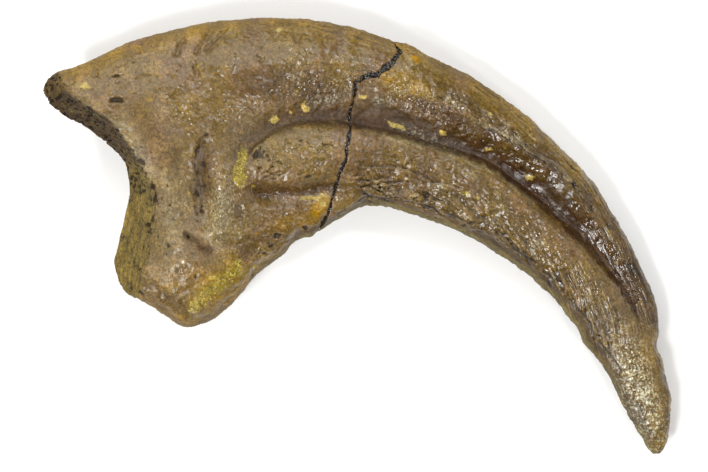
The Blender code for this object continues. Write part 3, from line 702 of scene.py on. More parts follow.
# Where both flanks are dark brown, specked with small holes or fibrous.
WALL_WEIGHTS = (0.0, 0.15, 0.6, 0.95, 1.0, 1.0, 1.0, 0.9, 0.6)
CORE_WEIGHTS = (0.6, 0.75, 0.85, 0.8, 0.95, 1.0, 1.0, 0.95, 0.7)
COLOUR_OF_BOTH_SIDES: list[Feature] = [
    Feature(Band(SHEATH_LINE, 1.5, 0.8, CORE_WEIGHTS, 0.05, 2.0), 0.0, Tint.GROOVE, 0.95),
    Feature(Band(SHEATH_LINE, 4.2, 0.8, WALL_WEIGHTS, 0.05, 1.8), 0.0, Tint.BROWN, 1.0),
    Feature(Band(SHEATH_LINE, 3.0, 1.6, (0.5, 0.8, 1.0, 0.4, 0.0, 0.0, 0.0), 0.03), 0.0, Tint.DULL, 0.6),
    # Partly the furrow's brown and partly painted shadow under the tongue.
    Feature(Band(UNDER_TONGUE_LINE, 0.9, 0.7, edge=1.2), 0.0, Tint.GROOVE, 0.75),
    Feature(Spot((-6.5, 17.2), (7.0, 2.6), -5, 1.5), 0.0, Tint.BROWN, 0.8),
    Feature(Spot((-18.4, 7.2), (1.2, 5.4), -4, 2.0), 0.0, Tint.BROWN, 0.62),
    Feature(Spot((-18.9, 7.0), (0.6, 4.6), -4, 1.4), 0.0, Tint.GROOVE, 0.5),
    Feature(Spot((-15.2, 8.4), (1.2, 2.6), 10, 1.2), 0.0, Tint.BROWN, 0.45),
    Feature(Spot((-14.4, 3.7), (1.5, 1.1), -30), 0.0, Tint.BROWN, 0.6),
    Feature(Spot((-13.2, -1.4), (3.4, 1.4), 40), 0.0, Tint.BROWN, 0.4),
    Feature(Spot((-22.0, -8.2), (3.6, 0.9), -10), 0.0, Tint.BROWN, 0.6),
    Feature(Spot((-20.4, -4.6), (4.6, 3.6), 10), 0.0, Tint.BROWN, 0.14),
    Feature(Spot((3.6, 17.6), (3.4, 1.8), -20), 0.0, Tint.BROWN, 0.5),
    Feature(
        Band([(6.0, 19.0), (13.0, 16.2), (19.0, 12.2), (25.5, 6.2), (30.5, 0.0), (34.2, -7.8)], 1.3, 1.9),
        0.0, Tint.BROWN, 0.62,
    ),
    Feature(Spot((7.6, 15.9), (2.2, 0.8), -24, 1.3), 0.0, Tint.GROOVE, 0.75),
    Feature(Spot((11.4, 14.4), (2.0, 0.6), -30, 1.3), 0.0, Tint.GROOVE, 0.7),
    Feature(Spot((16.2, 12.0), (2.4, 0.6), -32, 1.3), 0.0, Tint.GROOVE, 0.6),
    Feature(Spot((22.4, 8.9), (2.8, 0.9), -44, 1.3), 0.0, Tint.GROOVE, 0.65),
    Feature(Spot((27.6, 4.4), (2.4, 0.8), -50, 1.3), 0.0, Tint.GROOVE, 0.6),
    Feature(
        Band(
            [(-1.0, 8.0), (8.0, 6.8), (17.0, 2.4), (25.0, -4.6), (31.0, -12.4)],
            4.6, 4.6, fade=0.03, edge=2.0,
        ),
        0.0, Tint.BROWN, 0.33,
    ),
    Feature(Band(INNER_RIDGE_LINE, 3.0, 1.4), 0.0, Tint.FIBRE, 0.8),
    Feature(Band([(22.3, -4.0), (27.0, -8.5), (31.0, -14.5)], 3.2, 2.4), 0.0, Tint.FIBRE, 1.0),
    Feature(Band([(29.0, 3.0), (33.5, -5.0), (35.8, -12.0)], 1.0, 1.8, fade=0.05), 0.0, Tint.FIBRE, 1.0),
    Feature(
        Band([(27.0, 4.4), (31.4, -1.6), (34.4, -7.6), (35.6, -12.4)], 2.4, 1.6, edge=1.6),
        0.0, Tint.BROWN, 0.9,
    ),
    Feature(Band(SOCKET_LIP_LINE, 2.4, 1.6), 0.0, Tint.DULL, 0.8),
    Feature(Spot((-24.4, 2.0), (2.0, 7.0), 5), 0.0, Tint.DULL, 0.8),
    Feature(Band(SOCKET_LIP_LINE, 1.6, 0.6), 0.0, Tint.SPECK, 0.7),
    Feature(Spot((-23.8, 2.0), (1.4, 6.0), 5), 0.0, Tint.SPECK, 1.0),
    Feature(Spot((-12.5, -2.0), (7.0, 1.8), 40), 0.0, Tint.SPECK, 1.0),
    Feature(Spot((-10.6, 8.6), (2.4, 1.6), 0), 0.0, Tint.SPECK, 1.0),
    Feature(Spot((-22.0, -7.0), (5.0, 2.6), 0), 0.0, Tint.SPECK, 0.8),
    Feature(Band(INNER_RIDGE_LINE, 1.6, 1.6), 0.0, Tint.SPECK, 0.6),
    Feature(Band(OUTER_LEDGE_LINE, 1.5, 0.5), 0.0, Tint.SPECK, 0.8),
    Feature(Spot((0.8, 14.8), (1.4, 2.0), 0), 0.0, Tint.SPECK, 0.6),
]


@dataclass
class ClawForm:
    """The claw's thickness, as in the solids, and its main relief."""

    middle_height: float = 5.644
    rise_along: float = -0.0466
    rise_across: float = 0.0287
    half_thickness: Table = (
        (0, 5.9), (0.3, 6.3), (0.7, 6.1), (1, 5.6), (1.35, 4.8), (1.65, 3.8), (1.85, 2.7), (1.93, 2.1),
        (1.97, 1.6), (2, 0.9),
    )
    fullness: Table = ((0, 0.6), (1, 0.7), (2, 0.8))
    belly: Table = ((0, 0.0), (0.8, 0.02), (1.3, 0.1), (2, 0.06))
    lump_height: float = 0.14
    lump_size: float = 4.5
    lump_layers: tuple[float, float, int] = (0.9, 2.1, 3)
    sides_apart: float = 7.0
    relief_fade: Pair = (0.1, 2.6)
    least_left: float = 0.35

    def middle(self, places: Array) -> Array:
        """Height of the claw's middle plane over places in plan."""
        return self.middle_height + self.rise_along * places[..., 0] + self.rise_across * places[..., 1]

    def half(self, stations: Array, turns: Array) -> Array:
        """Half the thickness.

        Args:
            stations: 0 at the joint's rim, 1 at the break and 2 at the tip.
            turns: 0 at the outer edge, pi at the inner edge.

        Returns:
            Half the thickness before any relief, in millimetres.
        """
        sine = np.clip(np.sin(turns), 0, 1)
        belly = 1 - np.interp(stations, *zip(*self.belly)) * np.cos(turns)
        power = np.interp(stations, *zip(*self.fullness))
        return np.interp(stations, *zip(*self.half_thickness)) * sine**power * belly

    def lumps(self, places: Array, side: Side) -> Array:
        """Low, uneven swellings all over.

        Args:
            places: places in plan.
            side: the flank.

        Returns:
            Their height at each place.
        """
        flat = places.reshape(-1, 2) / self.lump_size
        level = self.sides_apart * side.value
        heights = [noise.fractal(Vector((x, y, level)), *self.lump_layers) for x, y in flat]
        return self.lump_height * np.array(heights).reshape(places.shape[:-1])

    def height(self, places: Array, half: Array, side: Side) -> Array:
        """Height of a flank's surface.

        Args:
            places: places in plan.
            half: half the thickness at each place.
            side: the flank.

        Returns:
            The surface's height over the floor, in millimetres.
        """
        own = FORM_OF_UPPER_SIDE if side is Side.UPPER else FORM_OF_LOWER_SIDE
        relief = self.lumps(places, side)
        for feature in FORM_OF_BOTH_SIDES + own:
            relief += feature.rise * feature.area.cover(places)
        swollen = np.maximum(half + relief * smooth_step(half, *self.relief_fade), self.least_left * half)
        return np.maximum(self.middle(places) + side.value * swollen, 0.0)


@dataclass
class BreakLine:
    """The break through the claw: its line on each flank, how wide it gapes and how ragged its lips are."""

    gap: Table = (
        (0, 0.12), (0.03, 0.4), (0.12, 0.72), (0.2, 0.84), (0.27, 0.68), (0.34, 0.56), (0.45, 0.4),
        (0.55, 0.46), (0.62, 0.54), (0.72, 0.46), (0.8, 0.36), (0.9, 0.5), (0.96, 0.4), (1, 0.08),
    )
    ragged: float = 0.2
    rag_size: float = 0.9
    rag_layers: tuple[float, float, int] = (0.8, 2.2, 3)
    lips_apart: float = 5.0
    end_fade: float = 0.06
    heading_step: float = 0.02

    def places(self, side: Side, shares: Array, offset: float | Array, hand: int = 0) -> Array:
        """Places along the break.

        Args:
            side: the flank.
            shares: shares of the way from the outer to the inner edge.
            offset: how far towards the tip, as a share of the local gap.
            hand: which lip's raggedness is added: -1, 1, or 0 for none.

        Returns:
            The places in plan.
        """
        line = Path(BREAK_UP if side is Side.UPPER else BREAK_DOWN, sharp=True)
        middle = line.at(shares)
        ahead = line.at(np.clip(shares + self.heading_step, 0, 1))
        behind = line.at(np.clip(shares - self.heading_step, 0, 1))
        heading = (ahead - behind) / np.linalg.norm(ahead - behind, axis=1)[:, None]
        across = np.stack([-heading[:, 1], heading[:, 0]], axis=1)
        wide = np.interp(shares, *zip(*self.gap)) * offset
        if hand:
            runs = shares * line.run[-1] / self.rag_size
            level = self.lips_apart * hand
            rough = np.array(
                [noise.fractal(Vector((run, level, side.value)), *self.rag_layers) for run in runs]
            )
            wide = wide + self.ragged * rough * smooth_step(1 - np.abs(2 * shares - 1), 0, self.end_fade)
        return middle + wide[:, None] * across


def turns_across(columns: int, crowding: float = 0.15) -> Array:
    """Turns from the outer edge (0) to the inner edge (pi), closer together in the middle of the flank."""
    even = np.linspace(0, math.pi, columns)
    return even + crowding * np.sin(2 * even)


def shares_across(turns: Array) -> Array:
    """The share of the way from the outer to the inner edge at each turn."""
    return (1 - np.cos(turns)) / 2


def patch(outer: Path, inner: Path, start: Array, end: Array, along: Array, across: Array) -> Array:
    """A grid of places in plan inside four edges.

    Args:
        outer: the outer edge.
        inner: the inner edge.
        start: places along the edge nearer the joint, from the outer to the inner edge.
        end: places along the edge nearer the tip.
        along: shares of the way from start to end.
        across: shares of the way from the outer to the inner edge.

    Returns:
        The places, one row for each share along.
    """
    near = np.clip(1 - along / CORNER_SHARE, 0, 1)[:, None]
    far = np.clip(1 - (1 - along) / CORNER_SHARE, 0, 1)[:, None]
    edges = []
    for edge, k in ((outer, 0), (inner, -1)):
        drawn = edge.at(along)
        edges.append((drawn + near * (start[k] - drawn[0]) + far * (end[k] - drawn[-1]))[:, None])
    s, u = along[:, None, None], across[None, :, None]
    corners = (
        (1 - s) * (1 - u) * start[0] + (1 - s) * u * start[-1] + s * (1 - u) * end[0] + s * u * end[-1]
    )
    return (1 - u) * edges[0] + u * edges[1] + (1 - s) * start[None] + s * end[None] - corners


def warped(places: Array, size: float, reach: float) -> Array:
    """Places pushed about by noise, so that what is drawn on them has an uneven edge.

    Args:
        places: places in plan.
        size: the size of the unevenness.
        reach: how far it pushes.

    Returns:
        The pushed places.
    """
    flat = [Vector((x / size, y / size, WARP_LEVEL)) for x, y in places.reshape(-1, 2)]
    pushes = [noise.turbulence_vector(place, WARP_LAYERS, False)[:2] for place in flat]
    return places + reach * np.array(pushes).reshape(places.shape)


@dataclass
class Sheet:
    """One flank of a fragment: a grid of points and the vertex attributes that go with them."""

    points: Array
    shares: Array
    values: dict[str, Array] = field(default_factory=dict)


def quads(index: Array) -> Array:
    """The four corners of each face of a grid of vertex numbers."""
    return np.stack([index[:-1, :-1], index[:-1, 1:], index[1:, 1:], index[1:, :-1]], -1).reshape(-1, 4)


def zipped(upper: Array, lower: Array, upper_shares: Array, lower_shares: Array) -> list[tuple[int, ...]]:
    """Triangles between two rows of vertices that start and end at the same vertex.

    Args:
        upper: vertex numbers of the upper row.
        lower: vertex numbers of the lower row.
        upper_shares: how far along its row each upper vertex stands, from 0 to 1.
        lower_shares: the same of each lower vertex.

    Returns:
        The triangles' vertex numbers.
    """
    faces, i, j = [], 0, 0
    while i < len(upper) - 1 or j < len(lower) - 1:
        on_upper = j == len(lower) - 1
        if i < len(upper) - 1 and not on_upper:
            on_upper = upper_shares[i + 1] <= lower_shares[j + 1]
        step = (upper[i], upper[i + 1], lower[j]) if on_upper else (upper[i], lower[j + 1], lower[j])
        i, j = (i + 1, j) if on_upper else (i, j + 1)
        if len(set(step)) == 3:
            faces.append(tuple(int(k) for k in step))
    return faces


def strengthen(values: dict[str, Array], tint: Tint, amount: Array) -> None:
    """Raises a tint's values to an amount where they are below it."""
    values[tint.value] = np.maximum(values[tint.value], amount)


def skinned(name: str, upper: Sheet, lower: Sheet) -> bpy.types.Object:
    """A closed mesh of two sheets, which are made to meet along their first and last columns.

    Args:
        name: the piece's name.
        upper: the flank that faces up.
        lower: the flank that faces down, with as many rows.

    Returns:
        The piece, linked to the scene.
    """
    for column in (0, -1):
        seam = (upper.points[:, column] + lower.points[:, column]) / 2
        upper.points[:, column] = seam
        lower.points[:, column] = seam
    rows, columns = upper.points.shape[:2]
    first = np.arange(rows * columns).reshape(rows, columns)
    inside = rows * columns + np.arange(rows * (lower.points.shape[1] - 2)).reshape(rows, -1)
    second = np.concatenate([first[:, :1], inside, first[:, -1:]], axis=1)
    points = np.concatenate([upper.points.reshape(-1, 3), lower.points[:, 1:-1].reshape(-1, 3)])
    faces = [tuple(face) for face in np.concatenate([quads(first), quads(second)[:, ::-1]]).tolist()]
    faces += [face[::-1] for face in zipped(first[0], second[0], upper.shares, lower.shares)]
    faces += zipped(first[-1], second[-1], upper.shares, lower.shares)
    data = bpy.data.meshes.new(name)
    data.from_pydata((points * MM).tolist(), [], faces)
    for key, value in upper.values.items():
        size = value.shape[2:]
        joined = np.concatenate([value.reshape(-1, *size), lower.values[key][:, 1:-1].reshape(-1, *size)])
        kind, slot = ("FLOAT_VECTOR", "vector") if size else ("FLOAT", "value")
        data.attributes.new(key, kind, "POINT").data.foreach_set(slot, joined.astype(np.float32).ravel())
    data.shade_smooth()
    data.validate()
    piece = bpy.data.objects.new(name, data)
    bpy.context.scene.collection.objects.link(piece)
    return piece


class NodeWriter:
    """Adds nodes to one tree and joins them."""

    NOISE_ROUGHNESS = 0.6

    def __init__(self, tree: bpy.types.NodeTree) -> None:
        """Keeps the tree that the nodes go into."""
        self.tree = tree

    def add(self, kind: str, inputs: dict | None = None, **settings: object) -> bpy.types.Node:
        """Adds a node.

        Args:
            kind: the node's type name.
            inputs: a value or another node's output for each input, by its name or number.
            settings: the node's own settings.

        Returns:
            The node.
        """
        node = self.tree.nodes.new(kind)
        for key, value in settings.items():
            setattr(node, key, value)
        for key, value in (inputs or {}).items():
            if isinstance(value, Socket):
                self.join(value, node.inputs[key])
            else:
                node.inputs[key].default_value = value
        return node

    def out(self, kind: str, inputs: dict | None = None, **settings: object) -> Socket:
        """Adds a node and returns its first output in use.

        Args:
            kind: the node's type name.
            inputs: a value or another node's output for each input.
            settings: the node's own settings.

        Returns:
            The output.
        """
        return next(s for s in self.add(kind, inputs, **settings).outputs if s.enabled)

    def join(self, output: Socket, into: Socket) -> None:
        """Joins an output to an input."""
        self.tree.links.new(output, into)

    def math(self, operation: str, *values: object) -> Socket:
        """The result of a sum on one to three values."""
        return self.out("ShaderNodeMath", dict(enumerate(values)), operation=operation)

    def times(self, value: object, by: object) -> Socket:
        """The product of two values."""
        return self.math("MULTIPLY", value, by)

    def plus(self, value: object, more: object) -> Socket:
        """The sum of two values."""
        return self.math("ADD", value, more)

    def sloped(self, value: object, slope: float, start: object) -> Socket:
        """A value times a slope, plus a start."""
        return self.math("MULTIPLY_ADD", value, slope, start)

    def scaled(self, vector: object, sizes: Triple) -> Socket:
        """A vector with each of its parts multiplied."""
        return self.out("ShaderNodeVectorMath", {0: vector, 1: sizes}, operation="MULTIPLY")

    def stretched(self, vector: object, by: object) -> Socket:
        """A vector, or a colour, times one value."""
        return self.out("ShaderNodeVectorMath", {0: vector, "Scale": by}, operation="SCALE")

    def noise(self, vector: object, scale: float, detail: float = 2.0, seed: object = 0.0) -> Socket:
        """Noise from 0 to 1.

        Args:
            vector: where it is read.
            scale: how many of its lumps there are to a unit.
            detail: how many finer layers are added.
            seed: a number that picks the pattern.

        Returns:
            The noise's output.
        """
        values = {"Vector": vector, "W": seed, "Scale": scale, "Detail": detail}
        values["Roughness"] = self.NOISE_ROUGHNESS
        return self.out("ShaderNodeTexNoise", values, noise_dimensions="4D")

    def noise_colour(self, vector: object, scale: float) -> Socket:
        """Noise with three parts from 0 to 1."""
        return self.add("ShaderNodeTexNoise", {"Vector": vector, "Scale": scale}).outputs["Color"]

    def shift(self, vector: object, by: float) -> Socket:
        """A vector with the same added to each of its parts."""
        return self.out("ShaderNodeVectorMath", {0: vector, 1: (by, by, by)}, operation="ADD")

    def random(self, kind: str, low: object, high: object, seed: object) -> Socket:
        """A random value for each point.

        Args:
            kind: FLOAT or FLOAT_VECTOR.
            low: the lowest value.
            high: the highest value.
            seed: picks the draw.

        Returns:
            The value's output.
        """
        node = self.tree.nodes.new("FunctionNodeRandomValue")
        node.data_type = kind
        first = next(k for k, s in enumerate(node.inputs) if s.enabled)
        for key, value in ((first, low), (first + 1, high), ("Seed", seed)):
            if isinstance(value, Socket):
                self.join(value, node.inputs[key])
            else:
                node.inputs[key].default_value = value
        return next(s for s in node.outputs if s.enabled)

    def bump(self, height: object, distance: float, strength: object = 1.0) -> Socket:
        """The normal of a surface with bumps of a height from 0 to 1 of the distance."""
        return self.out("ShaderNodeBump", {"Strength": strength, "Distance": distance, "Height": height})

    def ramp(self, value: object, low: float, high: float, bottom: float = 0.0, top: float = 1.0) -> Socket:
        """A value eased from one range to another.

        Args:
            value: what is eased.
            low: where it leaves the bottom.
            high: where it reaches the top.
            bottom: the result's lowest value.
            top: the result's highest value.

        Returns:
            The eased output.
        """
        limits = {"Value": value, 1: low, 2: high, 3: bottom, 4: top}
        return self.out("ShaderNodeMapRange", limits, interpolation_type="SMOOTHSTEP")

    def blend(self, share: object, below: object, above: object) -> Socket:
        """A colour between two others.

        Args:
            share: 0 for the first colour, 1 for the second.
            below: the first colour.
            above: the second colour.

        Returns:
            The mixed colour's output.
        """
        below = (*below, 1.0) if isinstance(below, tuple) else below
        above = (*above, 1.0) if isinstance(above, tuple) else above
        node = self.add("ShaderNodeMix", {0: share, 6: below, 7: above}, data_type="RGBA")
        return node.outputs[2]


def made_plain(piece: bpy.types.Object) -> None:
    """Turns what a piece's modifiers make into its plain mesh, and removes them.

    Args:
        piece: the piece.
    """
    graph = bpy.context.evaluated_depsgraph_get()
    shown = piece.evaluated_get(graph)
    made = bpy.data.meshes.new_from_object(shown, preserve_all_data_layers=True, depsgraph=graph)
    for slot in reversed(range(len(made.materials))):
        if made.materials[slot] is None:
            made.materials.pop(index=slot)
    piece.modifiers.clear()
    old, piece.data = piece.data, made
    made.name = piece.name
    bpy.data.meshes.remove(old)


def grown(
    piece: bpy.types.Object,
    sizes: dict[str, float | int],
    write: Callable[[NodeWriter], None],
    material: bpy.types.Material,
) -> None:
    """Puts a Geometry Nodes tree on a piece and turns the result into the piece's plain mesh.

    Args:
        piece: the piece that the tree starts from.
        sizes: the value of each of the tree's inputs, by its name.
        write: writes the tree's nodes.
        material: what the tree dresses the result in.
    """
    tree = bpy.data.node_groups.new(f"{piece.name}_tree", "GeometryNodeTree")
    for way in ("INPUT", "OUTPUT"):
        tree.interface.new_socket("Geometry", in_out=way, socket_type="NodeSocketGeometry")
    given = {}
    for name, value in sizes.items():
        kind = "NodeSocketInt" if isinstance(value, int) else "NodeSocketFloat"
        socket = tree.interface.new_socket(name, in_out="INPUT", socket_type=kind)
        given[socket.identifier] = value
    socket = tree.interface.new_socket("Material", in_out="INPUT", socket_type="NodeSocketMaterial")
    given[socket.identifier] = material
    write(NodeWriter(tree))
    modifier = piece.modifiers.new(tree.name, "NODES")
    modifier.node_group = tree
    for identifier, value in given.items():
        modifier[identifier] = value
    made_plain(piece)


def new_material(name: str) -> tuple[bpy.types.Material, NodeWriter, bpy.types.NodeInputs]:
    """Makes a node material.

    Args:
        name: its name.

    Returns:
        The material, the writer of its tree and the inputs of its shader.
    """
    material = bpy.data.materials.new(name)
    material.use_nodes = True
    shader = material.node_tree.nodes["Principled BSDF"]
    return material, NodeWriter(material.node_tree), shader.inputs


@dataclass
class SurfaceRelief:
    """The fine relief of a skin, as a Geometry Nodes tree that moves its points along their normals and
    stores its holes and the painted shade and light of the relief.
    """

    crinkle_height: float = 0.085
    crinkle_size: float = 0.7
    grain_height: float = 0.065
    grain_size: float = 0.34
    swell_height: float = 0.26
    swell_size: float = 1.8
    scab_height: float = 0.07
    scab_size: float = 2.2
    fibre_height: float = 0.4
    pore_depth: float = 0.45
    pore_size: float = 0.5
    pore_widths: Pair = (0.45, 0.12)
    speck_size: float = 1.1
    speck_widths: Pair = (0.6, -0.28)
    hole_wander: float = 2.4
    fibre_stretch: Triple = (0.22, 2.7, 1.0)
    calm_scale: float = 0.3
    # How the fine relief's height turns into painted shade and light: a slope and a start.
    relief_shading_scale: Pair = (6.0, 0.42)
    lumps_of_specks: float = 1.3
    seed: int = 11

    def apply(self, piece: bpy.types.Object) -> None:
        """Roughens a skin and turns the result into its plain mesh.

        Args:
            piece: the skin, with its material on it and its attributes named rest, flow and the tints.
        """
        sizes = {
            "Crinkle height": self.crinkle_height,
            "Grain height": self.grain_height,
            "Swell height": self.swell_height,
            "Scab height": self.scab_height,
            "Fibre height": self.fibre_height,
            "Pore depth": self.pore_depth,
            "Seed": self.seed,
        }
        grown(piece, sizes, self.write, piece.data.materials[0])

    def write(self, nodes: NodeWriter) -> None:
        """Writes the tree's nodes.

        Args:
            nodes: the writer of the tree.
        """
        given = nodes.add("NodeGroupInput").outputs
        rest = self.attribute(nodes, "rest", "FLOAT_VECTOR")
        flow = self.attribute(nodes, "flow", "FLOAT_VECTOR")
        gloss = self.attribute(nodes, Tint.GLOSS.value)
        fibre = self.attribute(nodes, Tint.FIBRE.value)
        porous = self.attribute(nodes, Tint.POROUS.value)
        uneven = nodes.math("SUBTRACT", 1.0, self.attribute(nodes, Tint.SMOOTH.value))
        seed = given["Seed"]
        crinkle = self.ridges(nodes, nodes.noise(rest, 1 / self.crinkle_size, 2.0, seed))
        grain = nodes.noise(rest, 1 / self.grain_size, 1.0, nodes.plus(seed, 3.0))
        swell = nodes.noise(rest, 1 / self.swell_size, 2.0, nodes.plus(seed, 7.0))
        patches = nodes.noise(rest, 1 / self.scab_size, 4.0, nodes.plus(seed, 5.0))
        scabs = nodes.ramp(patches, 0.5, 0.55)
        rough_patches = nodes.noise(rest, self.calm_scale, 1.0, nodes.plus(seed, 1.0))
        calm = nodes.ramp(rough_patches, 0.42, 0.58, 0.25, 0.85)
        fibres = nodes.noise(nodes.scaled(flow, self.fibre_stretch), 1.0, 2.0, seed)
        speck = self.attribute(nodes, Tint.SPECK.value)
        pores = nodes.times(self.holes(nodes, rest, self.pore_size, *self.pore_widths), porous)
        specks = nodes.times(self.holes(nodes, rest, self.speck_size, *self.speck_widths), speck)
        pore = nodes.math("MAXIMUM", pores, specks)
        parts = [
            nodes.times(
                nodes.times(crinkle, given["Crinkle height"]),
                nodes.times(nodes.ramp(gloss, 0.0, 1.0, 0.2), uneven),
            ),
            nodes.times(self.centred(nodes, grain, given["Grain height"]), nodes.times(calm, uneven)),
            nodes.times(scabs, given["Scab height"]),
            nodes.times(self.centred(nodes, fibres, given["Fibre height"]), fibre),
            nodes.times(nodes.times(pore, given["Pore depth"]), -1.0),
        ]
        total = parts[0]
        for part in parts[1:]:
            total = nodes.plus(total, part)
        # Painted shade and light: a value from the relief's height, low in its hollows and high on its raised
        # points.
        relief_shading = nodes.sloped(total, *self.relief_shading_scale)
        lumpy = nodes.times(nodes.sloped(speck, self.lumps_of_specks, 1.0), uneven)
        swollen = nodes.times(self.centred(nodes, swell, given["Swell height"]), lumpy)
        total = nodes.times(nodes.plus(total, swollen), MM)
        offset = nodes.stretched(nodes.out("GeometryNodeInputNormal"), total)
        moved = nodes.out("GeometryNodeSetPosition", {"Geometry": given["Geometry"], "Offset": offset})
        place = nodes.add("ShaderNodeSeparateXYZ", {0: nodes.out("GeometryNodeInputPosition")})
        below = nodes.math("MINIMUM", place.outputs["Z"], 0.0)
        lift = nodes.stretched((0.0, 0.0, -1.0), below)
        moved = nodes.out("GeometryNodeSetPosition", {"Geometry": moved, "Offset": lift})
        for name, value in (("pore", pore), ("relief_shading", relief_shading)):
            moved = nodes.out(
                "GeometryNodeStoreNamedAttribute",
                {"Geometry": moved, "Name": name, "Value": value},
                data_type="FLOAT", domain="POINT",
            )
        real = nodes.out("GeometryNodeRealizeInstances", {"Geometry": moved})
        dressed = nodes.out("GeometryNodeSetMaterial", {"Geometry": real, "Material": given["Material"]})
        nodes.add("NodeGroupOutput", {"Geometry": dressed})

    def holes(self, nodes: NodeWriter, rest: object, size: float, spread: float, least: float) -> Socket:
        """Round holes, one to a cell, of many widths.

        Args:
            nodes: the writer of the tree.
            rest: places on the skin, in millimetres.
            size: the size of a cell.
            spread: how much wider the widest hole is than the narrowest, in cells.
            least: the narrowest hole's half width in cells. Below 0, some cells have no hole.

        Returns:
            1 inside a hole and 0 outside.
        """
        pushed = nodes.noise(rest, self.hole_wander, 1.0, 9.0)
        place = nodes.out("ShaderNodeVectorMath", {0: rest, 1: pushed}, operation="ADD")
        cells = nodes.add("ShaderNodeTexVoronoi", {"Vector": place, "Scale": 1 / size, "Randomness": 1.0})
        chance = nodes.out("ShaderNodeSeparateXYZ", {0: cells.outputs["Color"]})
        width = nodes.math("MAXIMUM", nodes.sloped(chance, spread, least), 0.01)
        return nodes.ramp(nodes.math("DIVIDE", cells.outputs["Distance"], width), 1.0, 0.6)

    def ridges(self, nodes: NodeWriter, value: object) -> Socket:
        """Thin ridges where noise crosses its middle."""
        apart = nodes.math("ABSOLUTE", nodes.sloped(value, 2.0, -1.0))
        return nodes.ramp(apart, 0.3, 0.0)

    def attribute(self, nodes: NodeWriter, name: str, kind: str = "FLOAT") -> Socket:
        """The value of a vertex attribute."""
        return nodes.out("GeometryNodeInputNamedAttribute", {"Name": name}, data_type=kind)

    def centred(self, nodes: NodeWriter, value: object, height: object) -> Socket:
        """Noise from 0 to 1 turned into a height on both sides of 0."""
        return nodes.times(nodes.sloped(value, 2.0, -1.0), height)


